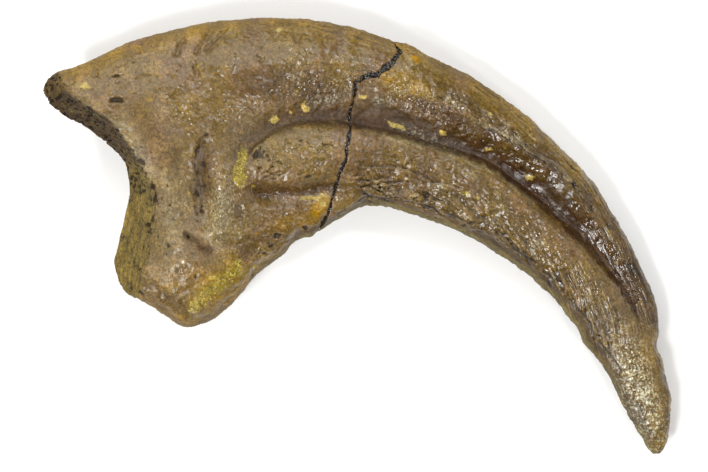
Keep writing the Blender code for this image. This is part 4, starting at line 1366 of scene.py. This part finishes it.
@dataclass(frozen=True)
class BoneFinish:
    """Brown mineralised bone under old varnish, with its stains, painted sheen where the varnish shines, and
    painted shade and light from its fine relief.
    """

    tan: Colour = (0.142, 0.088, 0.02)
    rose: Colour = (0.139, 0.08, 0.029)
    umber: Colour = (0.05, 0.026, 0.008)
    light: Colour = (0.25, 0.185, 0.08)
    olive: Colour = (0.135, 0.092, 0.012)
    chocolate: Colour = (0.038, 0.015, 0.003)
    black: Colour = (0.014, 0.007, 0.001)
    soft_tints: tuple[tuple[Tint, Colour], ...] = (
        (Tint.BROWN, (0.034, 0.015, 0.002)),
        (Tint.PALE, (0.26, 0.215, 0.115)),
        (Tint.OCHRE, (0.235, 0.135, 0.004)),
        (Tint.GREY, (0.15, 0.115, 0.03)),
    )
    crumbly_tints: tuple[tuple[Tint, Colour], ...] = (
        (Tint.GREEN, (0.26, 0.19, 0.012)),
        (Tint.ORANGE, (0.25, 0.13, 0.004)),
        (Tint.YELLOW, (0.36, 0.26, 0.055)),
    )
    # The colour of the painted sheen.
    frost: Colour = (0.44, 0.43, 0.3)
    roughness: float = 0.27
    gloss_roughness: float = 0.12
    shine: float = 0.45
    broad_scale: float = 0.2
    middling_scale: float = 0.8
    fine_scale: float = 4.5
    crisp_scale: float = 3.8
    bump_scale: float = 2.6
    bump_height: float = 0.14
    fleck_stretch: Triple = (1.2, 3.2, 1.0)
    streak_stretch: Triple = (0.2, 2.6, 1.0)

    def material(self, name: str) -> bpy.types.Material:
        """Makes the material.

        Args:
            name: its name.

        Returns:
            The material.
        """
        material, nodes, shader = new_material(name)
        rest = self.read(nodes, "rest", "Vector")
        flow = self.read(nodes, "flow", "Vector")
        shader["Specular IOR Level"].default_value = self.shine
        nodes.join(self.colour(nodes, rest, flow), shader["Base Color"])
        nodes.join(self.dullness(nodes, rest), shader["Roughness"])
        nodes.join(self.bump(nodes, rest), shader["Normal"])
        return material

    def read(self, nodes: NodeWriter, name: str, output: str = "Fac") -> Socket:
        """The value of a vertex attribute in a material."""
        return nodes.add("ShaderNodeAttribute", attribute_name=name).outputs[output]

    def colour(self, nodes: NodeWriter, rest: object, flow: object) -> Socket:
        """The bone's colour, with painted sheen, and painted shade and light from the fine relief.

        Args:
            nodes: the writer of the material's tree.
            rest: places on the skin, in millimetres.
            flow: places along and across the claw.

        Returns:
            The colour's output.
        """
        broad = nodes.noise(rest, self.broad_scale, 3.0, 1.0)
        middling = nodes.noise(rest, self.middling_scale, 3.0, 2.0)
        fine = nodes.noise(rest, self.fine_scale, 2.0, 3.0)
        flecks = nodes.noise(nodes.scaled(flow, self.fleck_stretch), 1.0, 3.0, 8.0)
        streaks = nodes.noise(nodes.scaled(flow, self.streak_stretch), 1.0, 3.0, 4.0)
        relief_shading = self.read(nodes, "relief_shading")
        made = nodes.blend(nodes.ramp(broad, 0.42, 0.62), self.tan, self.rose)
        made = nodes.blend(nodes.ramp(middling, 0.48, 0.72, 0.0, 0.4), made, self.umber)
        made = nodes.blend(nodes.ramp(middling, 0.42, 0.28, 0.0, 0.25), made, self.light)
        made = nodes.blend(nodes.times(self.read(nodes, Tint.SOCKET.value), 0.85), made, self.olive)
        for tint, shade in self.soft_tints:
            cover = self.read(nodes, tint.value)
            made = nodes.blend(nodes.times(cover, nodes.ramp(middling, 0.6, 0.35, 0.8, 1.0)), made, shade)
        made = nodes.blend(self.read(nodes, Tint.GROOVE.value), made, self.chocolate)
        fibre = self.read(nodes, Tint.FIBRE.value)
        made = nodes.blend(nodes.times(fibre, nodes.ramp(streaks, 0.49, 0.6, 0.0, 0.9)), made, self.umber)
        made = nodes.blend(nodes.times(fibre, nodes.ramp(streaks, 0.46, 0.36, 0.0, 0.45)), made, self.light)
        for tint, shade in self.crumbly_tints:
            share = self.crumbled(nodes, self.read(nodes, tint.value), fine, middling)
            made = nodes.blend(share, made, shade)
        # Painted sheen: whitish specks where the varnish shines, and darker specks between them.
        crisp = nodes.noise(rest, self.crisp_scale, 2.0, 12.0)
        frost = self.read(nodes, Tint.PAINTED_SHEEN.value)
        made = nodes.blend(nodes.times(frost, nodes.ramp(crisp, 0.51, 0.61, 0.0, 0.85)), made, self.frost)
        made = nodes.blend(nodes.times(frost, nodes.ramp(crisp, 0.5, 0.4, 0.0, 0.75)), made, self.umber)
        # Painted shade in the fine relief's hollows and painted light on its raised points, then random tone
        # and flecks.
        shaded = nodes.ramp(relief_shading, 0.5, 0.0, 1.0, 0.26)
        shaded = nodes.times(shaded, nodes.ramp(relief_shading, 0.5, 1.2, 1.0, 1.5))
        shaded = nodes.times(shaded, nodes.ramp(fine, 0.65, 0.35, 0.56, 1.22))
        shaded = nodes.times(shaded, nodes.ramp(flecks, 0.6, 0.68, 1.0, 0.42))
        shaded = nodes.times(shaded, nodes.ramp(flecks, 0.4, 0.32, 1.0, 1.3))
        made = nodes.stretched(made, shaded)
        made = nodes.blend(nodes.times(self.read(nodes, "pore"), 0.85), made, self.black)
        dark = nodes.plus(self.read(nodes, Tint.DARK.value), nodes.sloped(fine, 0.6, -0.3))
        return nodes.blend(nodes.ramp(dark, 0.2, 0.5, 0.0, 0.85), made, self.black)

    def crumbled(self, nodes: NodeWriter, value: object, fine: object, middling: object) -> Socket:
        """A stain's share, broken up into patches with ragged edges."""
        ragged = nodes.plus(value, nodes.sloped(fine, 1.4, -0.7))
        uneven = nodes.plus(ragged, nodes.sloped(middling, 1.8, -0.9))
        return nodes.ramp(uneven, 0.3, 0.62)

    def dullness(self, nodes: NodeWriter, rest: object) -> Socket:
        """The bone's roughness, lower where the varnish has gathered."""
        even = nodes.noise(rest, 1.6, 3.0, 5.0)
        gained = self.gloss_roughness - self.roughness
        gloss = nodes.times(self.read(nodes, Tint.GLOSS.value), gained)
        base = nodes.ramp(even, 0.35, 0.65, self.roughness - 0.06, self.roughness + 0.08)
        dull = nodes.sloped(self.read(nodes, Tint.DULL.value), 0.7, gloss)
        hollow = nodes.sloped(self.read(nodes, Tint.DARK.value), 0.4, dull)
        return nodes.plus(base, hollow)

    def bump(self, nodes: NodeWriter, rest: object) -> Socket:
        """The finest grain, below the pitch of the skin, strongest where the varnish has gathered."""
        grain = nodes.noise(rest, self.bump_scale, 0.8, 6.0)
        gloss = nodes.sloped(self.read(nodes, Tint.GLOSS.value), 0.8, 0.2)
        uneven = nodes.sloped(self.read(nodes, Tint.SMOOTH.value), -0.8, 1.0)
        return nodes.bump(grain, self.bump_height * MM, nodes.times(gloss, uneven))


@dataclass(frozen=True)
class CementFinish:
    """Near-black glossy cement."""

    colour: Colour = (0.012, 0.01, 0.008)
    dust: Colour = (0.07, 0.05, 0.03)
    roughness: float = 0.09
    dust_scale: float = 1500.0
    bump_scale: float = 2600.0
    bump_height: float = 0.16

    def material(self, name: str) -> bpy.types.Material:
        """Makes the material.

        Args:
            name: its name.

        Returns:
            The material.
        """
        material, nodes, shader = new_material(name)
        shader["Roughness"].default_value = self.roughness
        place = nodes.add("ShaderNodeTexCoord").outputs["Object"]
        mottle = nodes.noise(place, self.dust_scale, 3.0, 1.0)
        nodes.join(nodes.blend(nodes.ramp(mottle, 0.5, 0.8), self.colour, self.dust), shader["Base Color"])
        grain = nodes.noise(place, self.bump_scale, 1.0, 2.0)
        nodes.join(nodes.bump(grain, self.bump_height * MM), shader["Normal"])
        return material


@dataclass(frozen=True)
class Margins:
    """How the two margins are coloured. Each range runs from full colour to none, in millimetres."""

    rind: Pair = (0.5, 3.2)
    brown: Pair = (0.8, 2.0)
    lip: Pair = (0.35, 0.8)
    seam_place: float = 1.5
    seam_width: float = 0.16
    outer_rim: Pair = (0.3, 1.8)
    inner_rim: Pair = (0.4, 1.4)
    blade_begins: Pair = (-14.0, -4.0)
    rim_ends: Pair = (16.0, 28.0)
    wet_along: Pair = (25.0, 30.0)
    wet_across: Pair = (-14.0, -12.0)

    def tint(self, values: dict[str, Array], points: Array) -> None:
        """Colours the outer and the inner margin of a flank.

        Args:
            values: the flank's attributes, which are changed.
            points: the flank's points.
        """
        x, y = points[..., 0], points[..., 1]
        steps = np.linalg.norm(np.diff(points[..., :2], axis=1, prepend=points[:, :1, :2]), axis=-1)
        from_outer = np.cumsum(steps, axis=1)
        from_inner = from_outer[:, -1:] - from_outer
        blade = smooth_step(x, *self.blade_begins)
        uneven = 0.55 + 0.45 * np.sin(x * 0.9) * np.cos(x * 0.37 + 1.0)
        rind = (1 - smooth_step(from_outer, *self.rind)) * uneven
        wet = smooth_step(x, *self.wet_along) * smooth_step(y, *self.wet_across)
        strengthen(values, Tint.OCHRE, 0.85 * rind * (1 - 0.8 * wet))
        strengthen(values, Tint.FIBRE, 0.8 * rind * blade)
        strengthen(values, Tint.BROWN, 0.85 * (1 - smooth_step(from_inner, *self.brown)) * blade)
        strengthen(values, Tint.GREY, 0.8 * (1 - smooth_step(from_inner, *self.lip)) * blade)
        broken = smooth_step(np.sin(x * 1.7) + np.sin(x * 0.61 + 2.0), -0.6, 0.6)
        seam = 0.75 * np.exp(-(((from_inner - self.seam_place) / self.seam_width) ** 2))
        strengthen(values, Tint.DARK, seam * blade * broken)
        outer_rim = (1 - smooth_step(from_outer, *self.outer_rim)) * (1 - smooth_step(x, *self.rim_ends))
        inner_rim = 1 - smooth_step(from_inner, *self.inner_rim)
        strengthen(values, Tint.DULL, 0.7 * np.maximum(outer_rim, inner_rim))


@dataclass
class Fragment:
    """A bone fragment: its edges, how finely it is skinned and what is written on its flanks."""

    node: str
    outer: Line
    inner: Line
    lip: int
    first_station: float
    rings: int
    end_rings: int
    upper_columns: int
    lower_columns: int
    upper_marks: list[Feature]
    form: ClawForm = field(default_factory=ClawForm)
    gap: BreakLine = field(default_factory=BreakLine)
    margins: Margins = field(default_factory=Margins)
    break_reach: float = 0.13
    coarse_wander: Pair = (1.1, 0.26)
    fine_wander: Pair = (0.35, 0.11)
    shade_wander: Pair = (0.7, 1.0)
    shade_range: Pair = (-0.35, 0.35)
    edge_range: Pair = (0.1, 1.6)
    station_length: float = 60.0
    side_level: float = 40.0

    def ends(self, shares: Array) -> tuple[Array, Array]:
        """The plan lines at the fragment's two ends.

        Args:
            shares: shares of the way from the outer to the inner edge.

        Returns:
            The end nearer the joint and the end nearer the tip.
        """
        raise NotImplementedError

    def closed(self, points: Array, shares: Array) -> Array:
        """The flank with the rows that close the end which isn't the break.

        Args:
            points: the flank's rows of points.
            shares: shares of the way from the outer to the inner edge.

        Returns:
            All rows.
        """
        raise NotImplementedError

    def sheet(self, side: Side, columns: int) -> Sheet:
        """One flank of the fragment.

        Args:
            side: the flank.
            columns: how many points there are across it.

        Returns:
            The flank's points and attributes.
        """
        turns = turns_across(columns)
        shares = shares_across(turns)
        along = np.linspace(0, 1, self.rings)
        start, end = self.ends(shares)
        places = patch(Path(self.outer), Path(self.inner), start, end, along, shares)
        places = self.broken(places, side, along, shares)
        half = self.form.half(self.first_station + along[:, None], turns[None])
        height = self.form.height(places, half, side)
        points = self.closed(np.concatenate([places, height[..., None]], axis=-1), shares)
        return self.marked(points, side, shares)

    def broken(self, places: Array, side: Side, along: Array, shares: Array) -> Array:
        """Draws the rows near the break to its ragged line.

        Args:
            places: places in plan, one row for each share along.
            side: the flank.
            along: shares of the way along the fragment.
            shares: shares of the way from the outer to the inner edge.

        Returns:
            The moved places.
        """
        line = self.gap.places(side, shares, 0.5 * self.lip, hand=self.lip)
        row, away = (0, along) if self.lip > 0 else (-1, 1 - along)
        near = 1 - smooth_step(away, 0.0, self.break_reach)
        return places + near[:, None, None] * (line - places[row])[None]

    def marked(self, points: Array, side: Side, shares: Array) -> Sheet:
        """Writes the pits, cracks and stains on a flank.

        Args:
            points: the flank's points.
            side: the flank.
            shares: shares of the way from the outer to the inner edge.

        Returns:
            The flank's points and attributes.
        """
        plan = points[..., :2]
        pushed = warped(warped(plan, *self.coarse_wander), *self.fine_wander)
        shifts = (warped(plan, *self.shade_wander) - plan).sum(axis=-1)
        ragged = 0.5 + 0.5 * smooth_step(shifts, *self.shade_range)
        values = {tint.value: np.zeros(plan.shape[:2]) for tint in Tint}
        held = smooth_step(np.abs(points[..., 2] - self.form.middle(plan)), *self.edge_range)
        own = self.upper_marks if side is Side.UPPER else MARKS_OF_LOWER_SIDE
        for feature in COLOUR_OF_BOTH_SIDES + own:
            cover = feature.area.cover(pushed)
            if feature.tint is Tint.DARK:
                cover *= ragged
            points[..., 2] += side.value * held * feature.rise * cover
            if feature.tint:
                strengthen(values, feature.tint, feature.strength * cover)
        points[..., 2] = np.maximum(points[..., 2], 0.0)
        self.margins.tint(values, points)
        values["rest"] = points.copy()
        values["flow"] = self.flow(points, side)
        return Sheet(points, shares, values)

    def flow(self, points: Array, side: Side) -> Array:
        """Where the bone's fibres run.

        Args:
            points: the flank's points.
            side: the flank.

        Returns:
            How far each point lies along and across the claw, in millimetres, and a level for the side.
        """
        along = np.cumsum(np.linalg.norm(np.diff(points, axis=0, prepend=points[:1]), axis=-1), axis=0)
        middle = along[:, along.shape[1] // 2] + self.station_length * self.first_station
        across = np.cumsum(np.linalg.norm(np.diff(points, axis=1, prepend=points[:, :1]), axis=-1), axis=1)
        level = np.full_like(across, self.side_level * side.value)
        return np.stack([np.broadcast_to(middle[:, None], across.shape), across, level], axis=-1)

    def build(self, finish: BoneFinish, relief: SurfaceRelief) -> bpy.types.Object:
        """Skins, dresses and roughens the fragment.

        Args:
            finish: the bone's finish.
            relief: the bone's fine relief.

        Returns:
            The piece.
        """
        upper = self.sheet(Side.UPPER, self.upper_columns)
        lower = self.sheet(Side.LOWER, self.lower_columns)
        piece = skinned(f"{self.node}_skin", upper, lower)
        piece.data.materials.append(finish.material(f"{self.node}_bone"))
        relief.apply(piece)
        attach(piece, "root")
        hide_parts(self.node)
        return piece


@dataclass
class JointFragment(Fragment):
    """The claw's root, with the joint's hollow end and the tendon boss."""

    node: str = "joint_fragment"
    outer: Line = field(default_factory=lambda: JOINT_OUTER)
    inner: Line = field(default_factory=lambda: JOINT_INNER)
    lip: int = -1
    first_station: float = 0.0
    rings: int = 236
    end_rings: int = 34
    upper_columns: int = 250
    lower_columns: int = 105
    upper_marks: list[Feature] = field(
        default_factory=lambda: PITS_OF_THE_ROOT + PITS_OF_THE_TONGUE + WRINKLES + STAINS_OF_THE_ROOT
        + GLOSSY_PLACES
    )
    hollow: float = 1.5
    corner_reach: float = 0.05
    outer_corner: Pair = (-0.3, 0.25)
    inner_corner: Pair = (-0.38, -0.36)
    keel_height: float = 0.012
    rim_reach: float = 5.0
    rim_passes: int = 10
    porous_rows: Pair = (-3.0, 4.0)
    coarse_from: Pair = (3.0, 9.0)
    least_porous: float = 0.12
    brown_from: Pair = (5.0, 12.0)

    def ends(self, shares: Array) -> tuple[Array, Array]:
        """The rim of the joint and the drift of the break."""
        return Path(JOINT_RIM).at(shares), Path(BREAK_DRIFT).at(shares)

    def closed(self, points: Array, shares: Array) -> Array:
        """The flank with the rows of the socket, which draw together on its keel.

        Args:
            points: the flank's rows of points.
            shares: shares of the way from the outer to the inner edge.

        Returns:
            All rows.
        """
        keel = Path(JOINT_KEEL).at(shares)
        middle = self.form.middle(keel)
        outwards = np.exp(-((shares / self.corner_reach) ** 2))[:, None] * self.outer_corner
        outwards += np.exp(-(((1 - shares) / self.corner_reach) ** 2))[:, None] * self.inner_corner
        rows = []
        for share in np.linspace(1, 0, self.end_rings, endpoint=False):
            plan = points[0, :, :2] + (keel - points[0, :, :2]) * share**self.hollow
            plan = plan + outwards * math.sin(math.pi * share**self.hollow)
            left = max(1 - share, self.keel_height)
            height = middle + (points[0, :, 2] - middle) * left
            rows.append(np.column_stack([plan, height]))
        whole = np.concatenate([np.array(rows), points])
        return self.rounded(whole)

    def rounded(self, points: Array) -> Array:
        """Rounds the rim between the socket and the flank.

        Args:
            points: all rows of points.

        Returns:
            The rounded rows.
        """
        soft = points.copy()
        for _ in range(self.rim_passes):
            soft[1:-1] = (soft[:-2] + 2 * soft[1:-1] + soft[2:]) / 4
        away = (np.arange(len(points)) - self.end_rings) / self.rim_reach
        return points + np.exp(-(away**2))[:, None, None] * (soft - points)

    def marked(self, points: Array, side: Side, shares: Array) -> Sheet:
        """Writes the marks, and the porous socket on its own rows.

        Args:
            points: the flank's points.
            side: the flank.
            shares: shares of the way from the outer to the inner edge.

        Returns:
            The flank's points and attributes.
        """
        sheet = super().marked(points, side, shares)
        row = np.arange(len(points))[:, None] - self.end_rings
        socket = 1 - smooth_step(row, *self.porous_rows)
        full = self.least_porous + (1 - self.least_porous) * smooth_step(points[..., 1], *self.coarse_from)
        strengthen(sheet.values, Tint.SOCKET, socket)
        strengthen(sheet.values, Tint.POROUS, socket * full)
        strengthen(sheet.values, Tint.DULL, 0.9 * socket)
        strengthen(sheet.values, Tint.BROWN, 0.95 * socket * smooth_step(points[..., 1], *self.brown_from))
        strengthen(sheet.values, Tint.FIBRE, 0.45 * socket * (1 + self.least_porous - full))
        flow = sheet.values["flow"]
        flow[: self.end_rings, :, :2] = flow[: self.end_rings, :, 1::-1]
        return sheet


@dataclass
class BladeFragment(Fragment):
    """The curved blade, from the break to the tip."""

    node: str = "blade_fragment"
    outer: Line = field(default_factory=lambda: BLADE_OUTER)
    inner: Line = field(default_factory=lambda: BLADE_INNER)
    lip: int = 1
    first_station: float = 1.0
    rings: int = 330
    end_rings: int = 12
    upper_columns: int = 195
    lower_columns: int = 85
    upper_marks: list[Feature] = field(
        default_factory=lambda: PITS_OF_THE_BLADE + WRINKLES + STAINS_OF_THE_BLADE + GLOSSY_PLACES
    )
    last_turn: float = math.pi / 2 - 0.02

    def ends(self, shares: Array) -> tuple[Array, Array]:
        """The drift of the break and the last ring before the tip."""
        return Path(BREAK_DRIFT).at(shares), Path([BLADE_OUTER[-1], BLADE_INNER[-1]]).at(shares)

    def closed(self, points: Array, shares: Array) -> Array:
        """The flank with the rows that round the tip.

        Args:
            points: the flank's rows of points.
            shares: shares of the way from the outer to the inner edge.

        Returns:
            All rows.
        """
        crest = Path(TIP_CREST).at(shares)
        middle = self.form.middle(crest)
        rows = []
        for angle in np.linspace(0, self.last_turn, self.end_rings + 1)[1:]:
            plan = points[-1, :, :2] + (crest - points[-1, :, :2]) * math.sin(angle)
            height = middle + (points[-1, :, 2] - middle) * math.cos(angle)
            rows.append(np.column_stack([plan, height]))
        return np.concatenate([points, np.array(rows)])


@dataclass
class BreakCement:
    """The cement in the break, a little below the bone's surface."""

    node: str = "break_cement"
    columns: int = 420
    rows: int = 9
    recess: Table = (
        (0, 0.3), (0.42, 0.3), (0.5, 0.1), (0.66, 0.12), (0.76, 0.3),
    )
    lump_height: float = 0.32
    lump_size: float = 0.35
    deepest_share: float = 0.6
    tuck_at_the_ends: float = 0.5
    tuck_between: float = 0.22
    end_fade: float = 0.08
    first_share: float = 0.004
    last_share: float = 0.988
    form: ClawForm = field(default_factory=ClawForm)
    gap: BreakLine = field(default_factory=BreakLine)

    def sheet(self, side: Side) -> Sheet:
        """The cement's surface on one flank.

        Args:
            side: the flank.

        Returns:
            Its points.
        """
        turns = turns_across(self.columns)[1:-1]
        shares = self.first_share + (self.last_share - self.first_share) * shares_across(turns)
        half = self.form.half(np.array([1.0]), turns[None])
        inwards = smooth_step(1 - np.abs(2 * shares - 1), 0.0, self.end_fade)
        tucked = self.tuck_at_the_ends + self.tuck_between * inwards
        recess = np.interp(shares, *zip(*self.recess))
        rows = []
        for offset in np.linspace(-1, 1, self.rows):
            plan = self.gap.places(side, shares, offset * tucked)
            top = self.form.height(plan[None], half, side)[0]
            thick = np.abs(top - self.form.middle(plan))
            lumps = [noise.noise(Vector((x, y, side.value))) for x, y in plan / self.lump_size]
            sunk = np.minimum(recess + self.lump_height * np.array(lumps), self.deepest_share * thick)
            rows.append(np.column_stack([plan, top - side.value * sunk]))
        return Sheet(np.array(rows), shares)

    def build(self, finish: CementFinish) -> bpy.types.Object:
        """Makes and dresses the cement.

        Args:
            finish: the cement's finish.

        Returns:
            The piece.
        """
        piece = skinned(f"{self.node}_fill", self.sheet(Side.UPPER), self.sheet(Side.LOWER))
        piece.data.materials.append(finish.material("dark_cement"))
        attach(piece, "root")
        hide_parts(self.node)
        return piece


@dataclass(frozen=True)
class MineralFinish:
    """Dull yellow-green mineral grains."""

    dark: Colour = (0.13, 0.088, 0.01)
    light: Colour = (0.44, 0.34, 0.06)
    roughness: float = 0.6
    mottle_scale: float = 1800.0
    bump_scale: float = 6000.0
    bump_height: float = 0.08
    bump_strength: float = 0.6

    def material(self, name: str) -> bpy.types.Material:
        """Makes the material.

        Args:
            name: its name.

        Returns:
            The material.
        """
        material, nodes, shader = new_material(name)
        shader["Roughness"].default_value = self.roughness
        place = nodes.add("ShaderNodeTexCoord").outputs["Object"]
        mottle = nodes.noise(place, self.mottle_scale, 3.0)
        nodes.join(nodes.blend(nodes.ramp(mottle, 0.35, 0.65), self.dark, self.light), shader["Base Color"])
        grain = nodes.noise(place, self.bump_scale, 2.0, 2.0)
        nodes.join(nodes.bump(grain, self.bump_height * MM, self.bump_strength), shader["Normal"])
        return material


@dataclass
class MineralCrumbs:
    """Mineral grains that cling to a fragment, which a Geometry Nodes tree scatters on its green stains."""

    density: float = 18.0
    smallest: float = 0.05
    largest: float = 0.19
    unevenness: float = 1.4
    dent_scale: float = 1200.0
    most_turned: Triple = (6.3, 6.3, 6.3)
    stain_range: Pair = (0.25, 0.7)
    seed: int = 5

    def build(self, host: bpy.types.Object, finish: MineralFinish) -> bpy.types.Object:
        """Scatters the grains and turns them into one plain mesh.

        Args:
            host: the fragment's finished skin.
            finish: the grains' finish.

        Returns:
            The piece.
        """
        piece = bpy.data.objects.new("mineral_crumbs", host.data.copy())
        bpy.context.scene.collection.objects.link(piece)
        sizes = {
            "Density": self.density,
            "Smallest": self.smallest,
            "Largest": self.largest,
            "Unevenness": self.unevenness,
            "Seed": self.seed,
        }
        grown(piece, sizes, self.write, finish.material("yellow_mineral"))
        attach(piece, "root")
        return piece

    def write(self, nodes: NodeWriter) -> None:
        """Writes the tree's nodes.

        Args:
            nodes: the writer of the tree.
        """
        given = nodes.add("NodeGroupInput").outputs
        green = nodes.out("GeometryNodeInputNamedAttribute", {"Name": Tint.GREEN.value}, data_type="FLOAT")
        share = nodes.ramp(green, *self.stain_range)
        density = nodes.times(nodes.times(share, given["Density"]), 1 / MM**2)
        points = nodes.out(
            "GeometryNodeDistributePointsOnFaces",
            {"Mesh": given["Geometry"], "Density": density, "Seed": given["Seed"]},
        )
        ball = nodes.out("GeometryNodeMeshIcoSphere", {"Radius": MM, "Subdivisions": 2})
        place = nodes.out("GeometryNodeInputPosition")
        push = nodes.scaled(nodes.shift(nodes.noise_colour(place, self.dent_scale), -0.5), (MM, MM, MM))
        push = nodes.stretched(push, given["Unevenness"])
        grain = nodes.out("GeometryNodeSetPosition", {"Geometry": ball, "Offset": push})
        turn = nodes.random("FLOAT_VECTOR", (0.0, 0.0, 0.0), self.most_turned, given["Seed"])
        size = nodes.random("FLOAT", given["Smallest"], given["Largest"], given["Seed"])
        grains = nodes.out(
            "GeometryNodeInstanceOnPoints",
            {"Points": points, "Instance": grain, "Rotation": turn, "Scale": size},
        )
        real = nodes.out("GeometryNodeRealizeInstances", {"Geometry": grains})
        dressed = nodes.out("GeometryNodeSetMaterial", {"Geometry": real, "Material": given["Material"]})
        nodes.add("NodeGroupOutput", {"Geometry": dressed})


@dataclass
class Lamp:
    """A soft lamp over the floor."""

    name: str
    azimuth: float
    elevation: float
    size: float
    power: float
    distance: float = 0.7

    def build(self) -> None:
        """Makes the lamp, aimed at the claw."""
        light = bpy.data.lights.new(self.name, "AREA")
        light.shape = "SQUARE"
        light.size = self.size
        light.energy = self.power
        lamp = bpy.data.objects.new(self.name, light)
        a, e = math.radians(self.azimuth), math.radians(self.elevation)
        back = Vector((math.cos(a) * math.cos(e), math.sin(a) * math.cos(e), math.sin(e)))
        lamp.location = back * self.distance
        lamp.rotation_mode = "QUATERNION"
        lamp.rotation_quaternion = back.to_track_quat("Z", "Y")
        bpy.context.scene.collection.objects.link(lamp)


@dataclass
class Studio:
    """The pale floor, the soft light and the camera, which looks straight down as in the photograph."""

    photo_size: tuple[int, int] = (708, 472)
    pixel: float = 0.12
    photo_middle: Pair = (-0.42, 0.06)
    height: float = 1000.0
    subject_height: float = 5.5
    floor_size: float = 3.0
    floor_colour: Colour = (0.9, 0.9, 0.89)
    floor_shade: float = 0.99
    floor_mottle_scale: float = 30.0
    floor_roughness: float = 0.9
    floor_shine: float = 0.1
    sensor_width: float = 36.0
    nearest_and_farthest: Pair = (0.01, 10.0)
    sky: float = 0.1
    lamps: tuple[Lamp, ...] = (
        Lamp("back_box", azimuth=102, elevation=44, size=0.7, power=4.2),
        Lamp("left_box", azimuth=180, elevation=42, size=0.6, power=1.2),
        Lamp("right_box", azimuth=5, elevation=40, size=0.6, power=1.3),
        Lamp("front_box", azimuth=-128, elevation=47, size=0.14, power=2.4),
        Lamp("front_lamp", azimuth=-132, elevation=68, size=0.1, power=1.7),
        Lamp("right_lamp", azimuth=-45, elevation=56, size=0.06, power=0.6),
        Lamp("back_lamp", azimuth=55, elevation=62, size=0.08, power=0.8),
    )

    def build(self) -> None:
        """Makes the floor, the light and the camera."""
        self.build_floor()
        for lamp in self.lamps:
            lamp.build()
        world = bpy.data.worlds.new("studio")
        world.use_nodes = True
        light = world.node_tree.nodes["Background"].inputs
        light["Strength"].default_value = self.sky
        light["Color"].default_value = (1.0, 1.0, 1.0, 1.0)
        bpy.context.scene.world = world
        bpy.context.scene.view_settings.view_transform = "Standard"
        self.build_camera()

    def build_floor(self) -> None:
        """Makes the floor."""
        half = self.floor_size / 2
        data = bpy.data.meshes.new("floor")
        corners = [(-half, -half, 0), (half, -half, 0), (half, half, 0), (-half, half, 0)]
        data.from_pydata(corners, [], [(0, 1, 2, 3)])
        material, nodes, shader = new_material("pale_floor")
        shader["Roughness"].default_value = self.floor_roughness
        shader["Specular IOR Level"].default_value = self.floor_shine
        mottle = nodes.noise(nodes.add("ShaderNodeTexCoord").outputs["Object"], self.floor_mottle_scale)
        shaded = tuple(self.floor_shade * part for part in self.floor_colour)
        nodes.join(nodes.blend(mottle, self.floor_colour, shaded), shader["Base Color"])
        data.materials.append(material)
        floor = bpy.data.objects.new("floor", data)
        bpy.context.scene.collection.objects.link(floor)

    def build_camera(self) -> None:
        """Makes the camera, whose frame is the photograph's at the height of the claw's upper flank."""
        data = bpy.data.cameras.new("camera")
        wide = self.photo_size[0] * self.pixel
        data.sensor_width = self.sensor_width
        data.lens = data.sensor_width * (self.height - self.subject_height) / wide
        data.clip_start, data.clip_end = self.nearest_and_farthest
        camera = bpy.data.objects.new("camera", data)
        camera.location = (self.photo_middle[0] * MM, self.photo_middle[1] * MM, self.height * MM)
        bpy.context.scene.collection.objects.link(camera)
        bpy.context.scene.camera = camera


def report(piece: bpy.types.Object) -> None:
    """Logs a piece's name and how many faces it has."""
    LOG.info("%s: %d faces", piece.name, len(piece.data.polygons))


def main() -> None:
    """Builds the fragments, the cement and the studio."""
    logging.basicConfig(level=logging.INFO, format="%(name)s %(message)s")
    noise.seed_set(NOISE_SEED)
    bone, relief = BoneFinish(), SurfaceRelief()
    joint = JointFragment().build(bone, relief)
    report(joint)
    report(BladeFragment().build(bone, relief))
    report(BreakCement().build(CementFinish()))
    report(MineralCrumbs().build(joint, MineralFinish()))
    Studio().build()


if __name__ == "__main__":
    main()
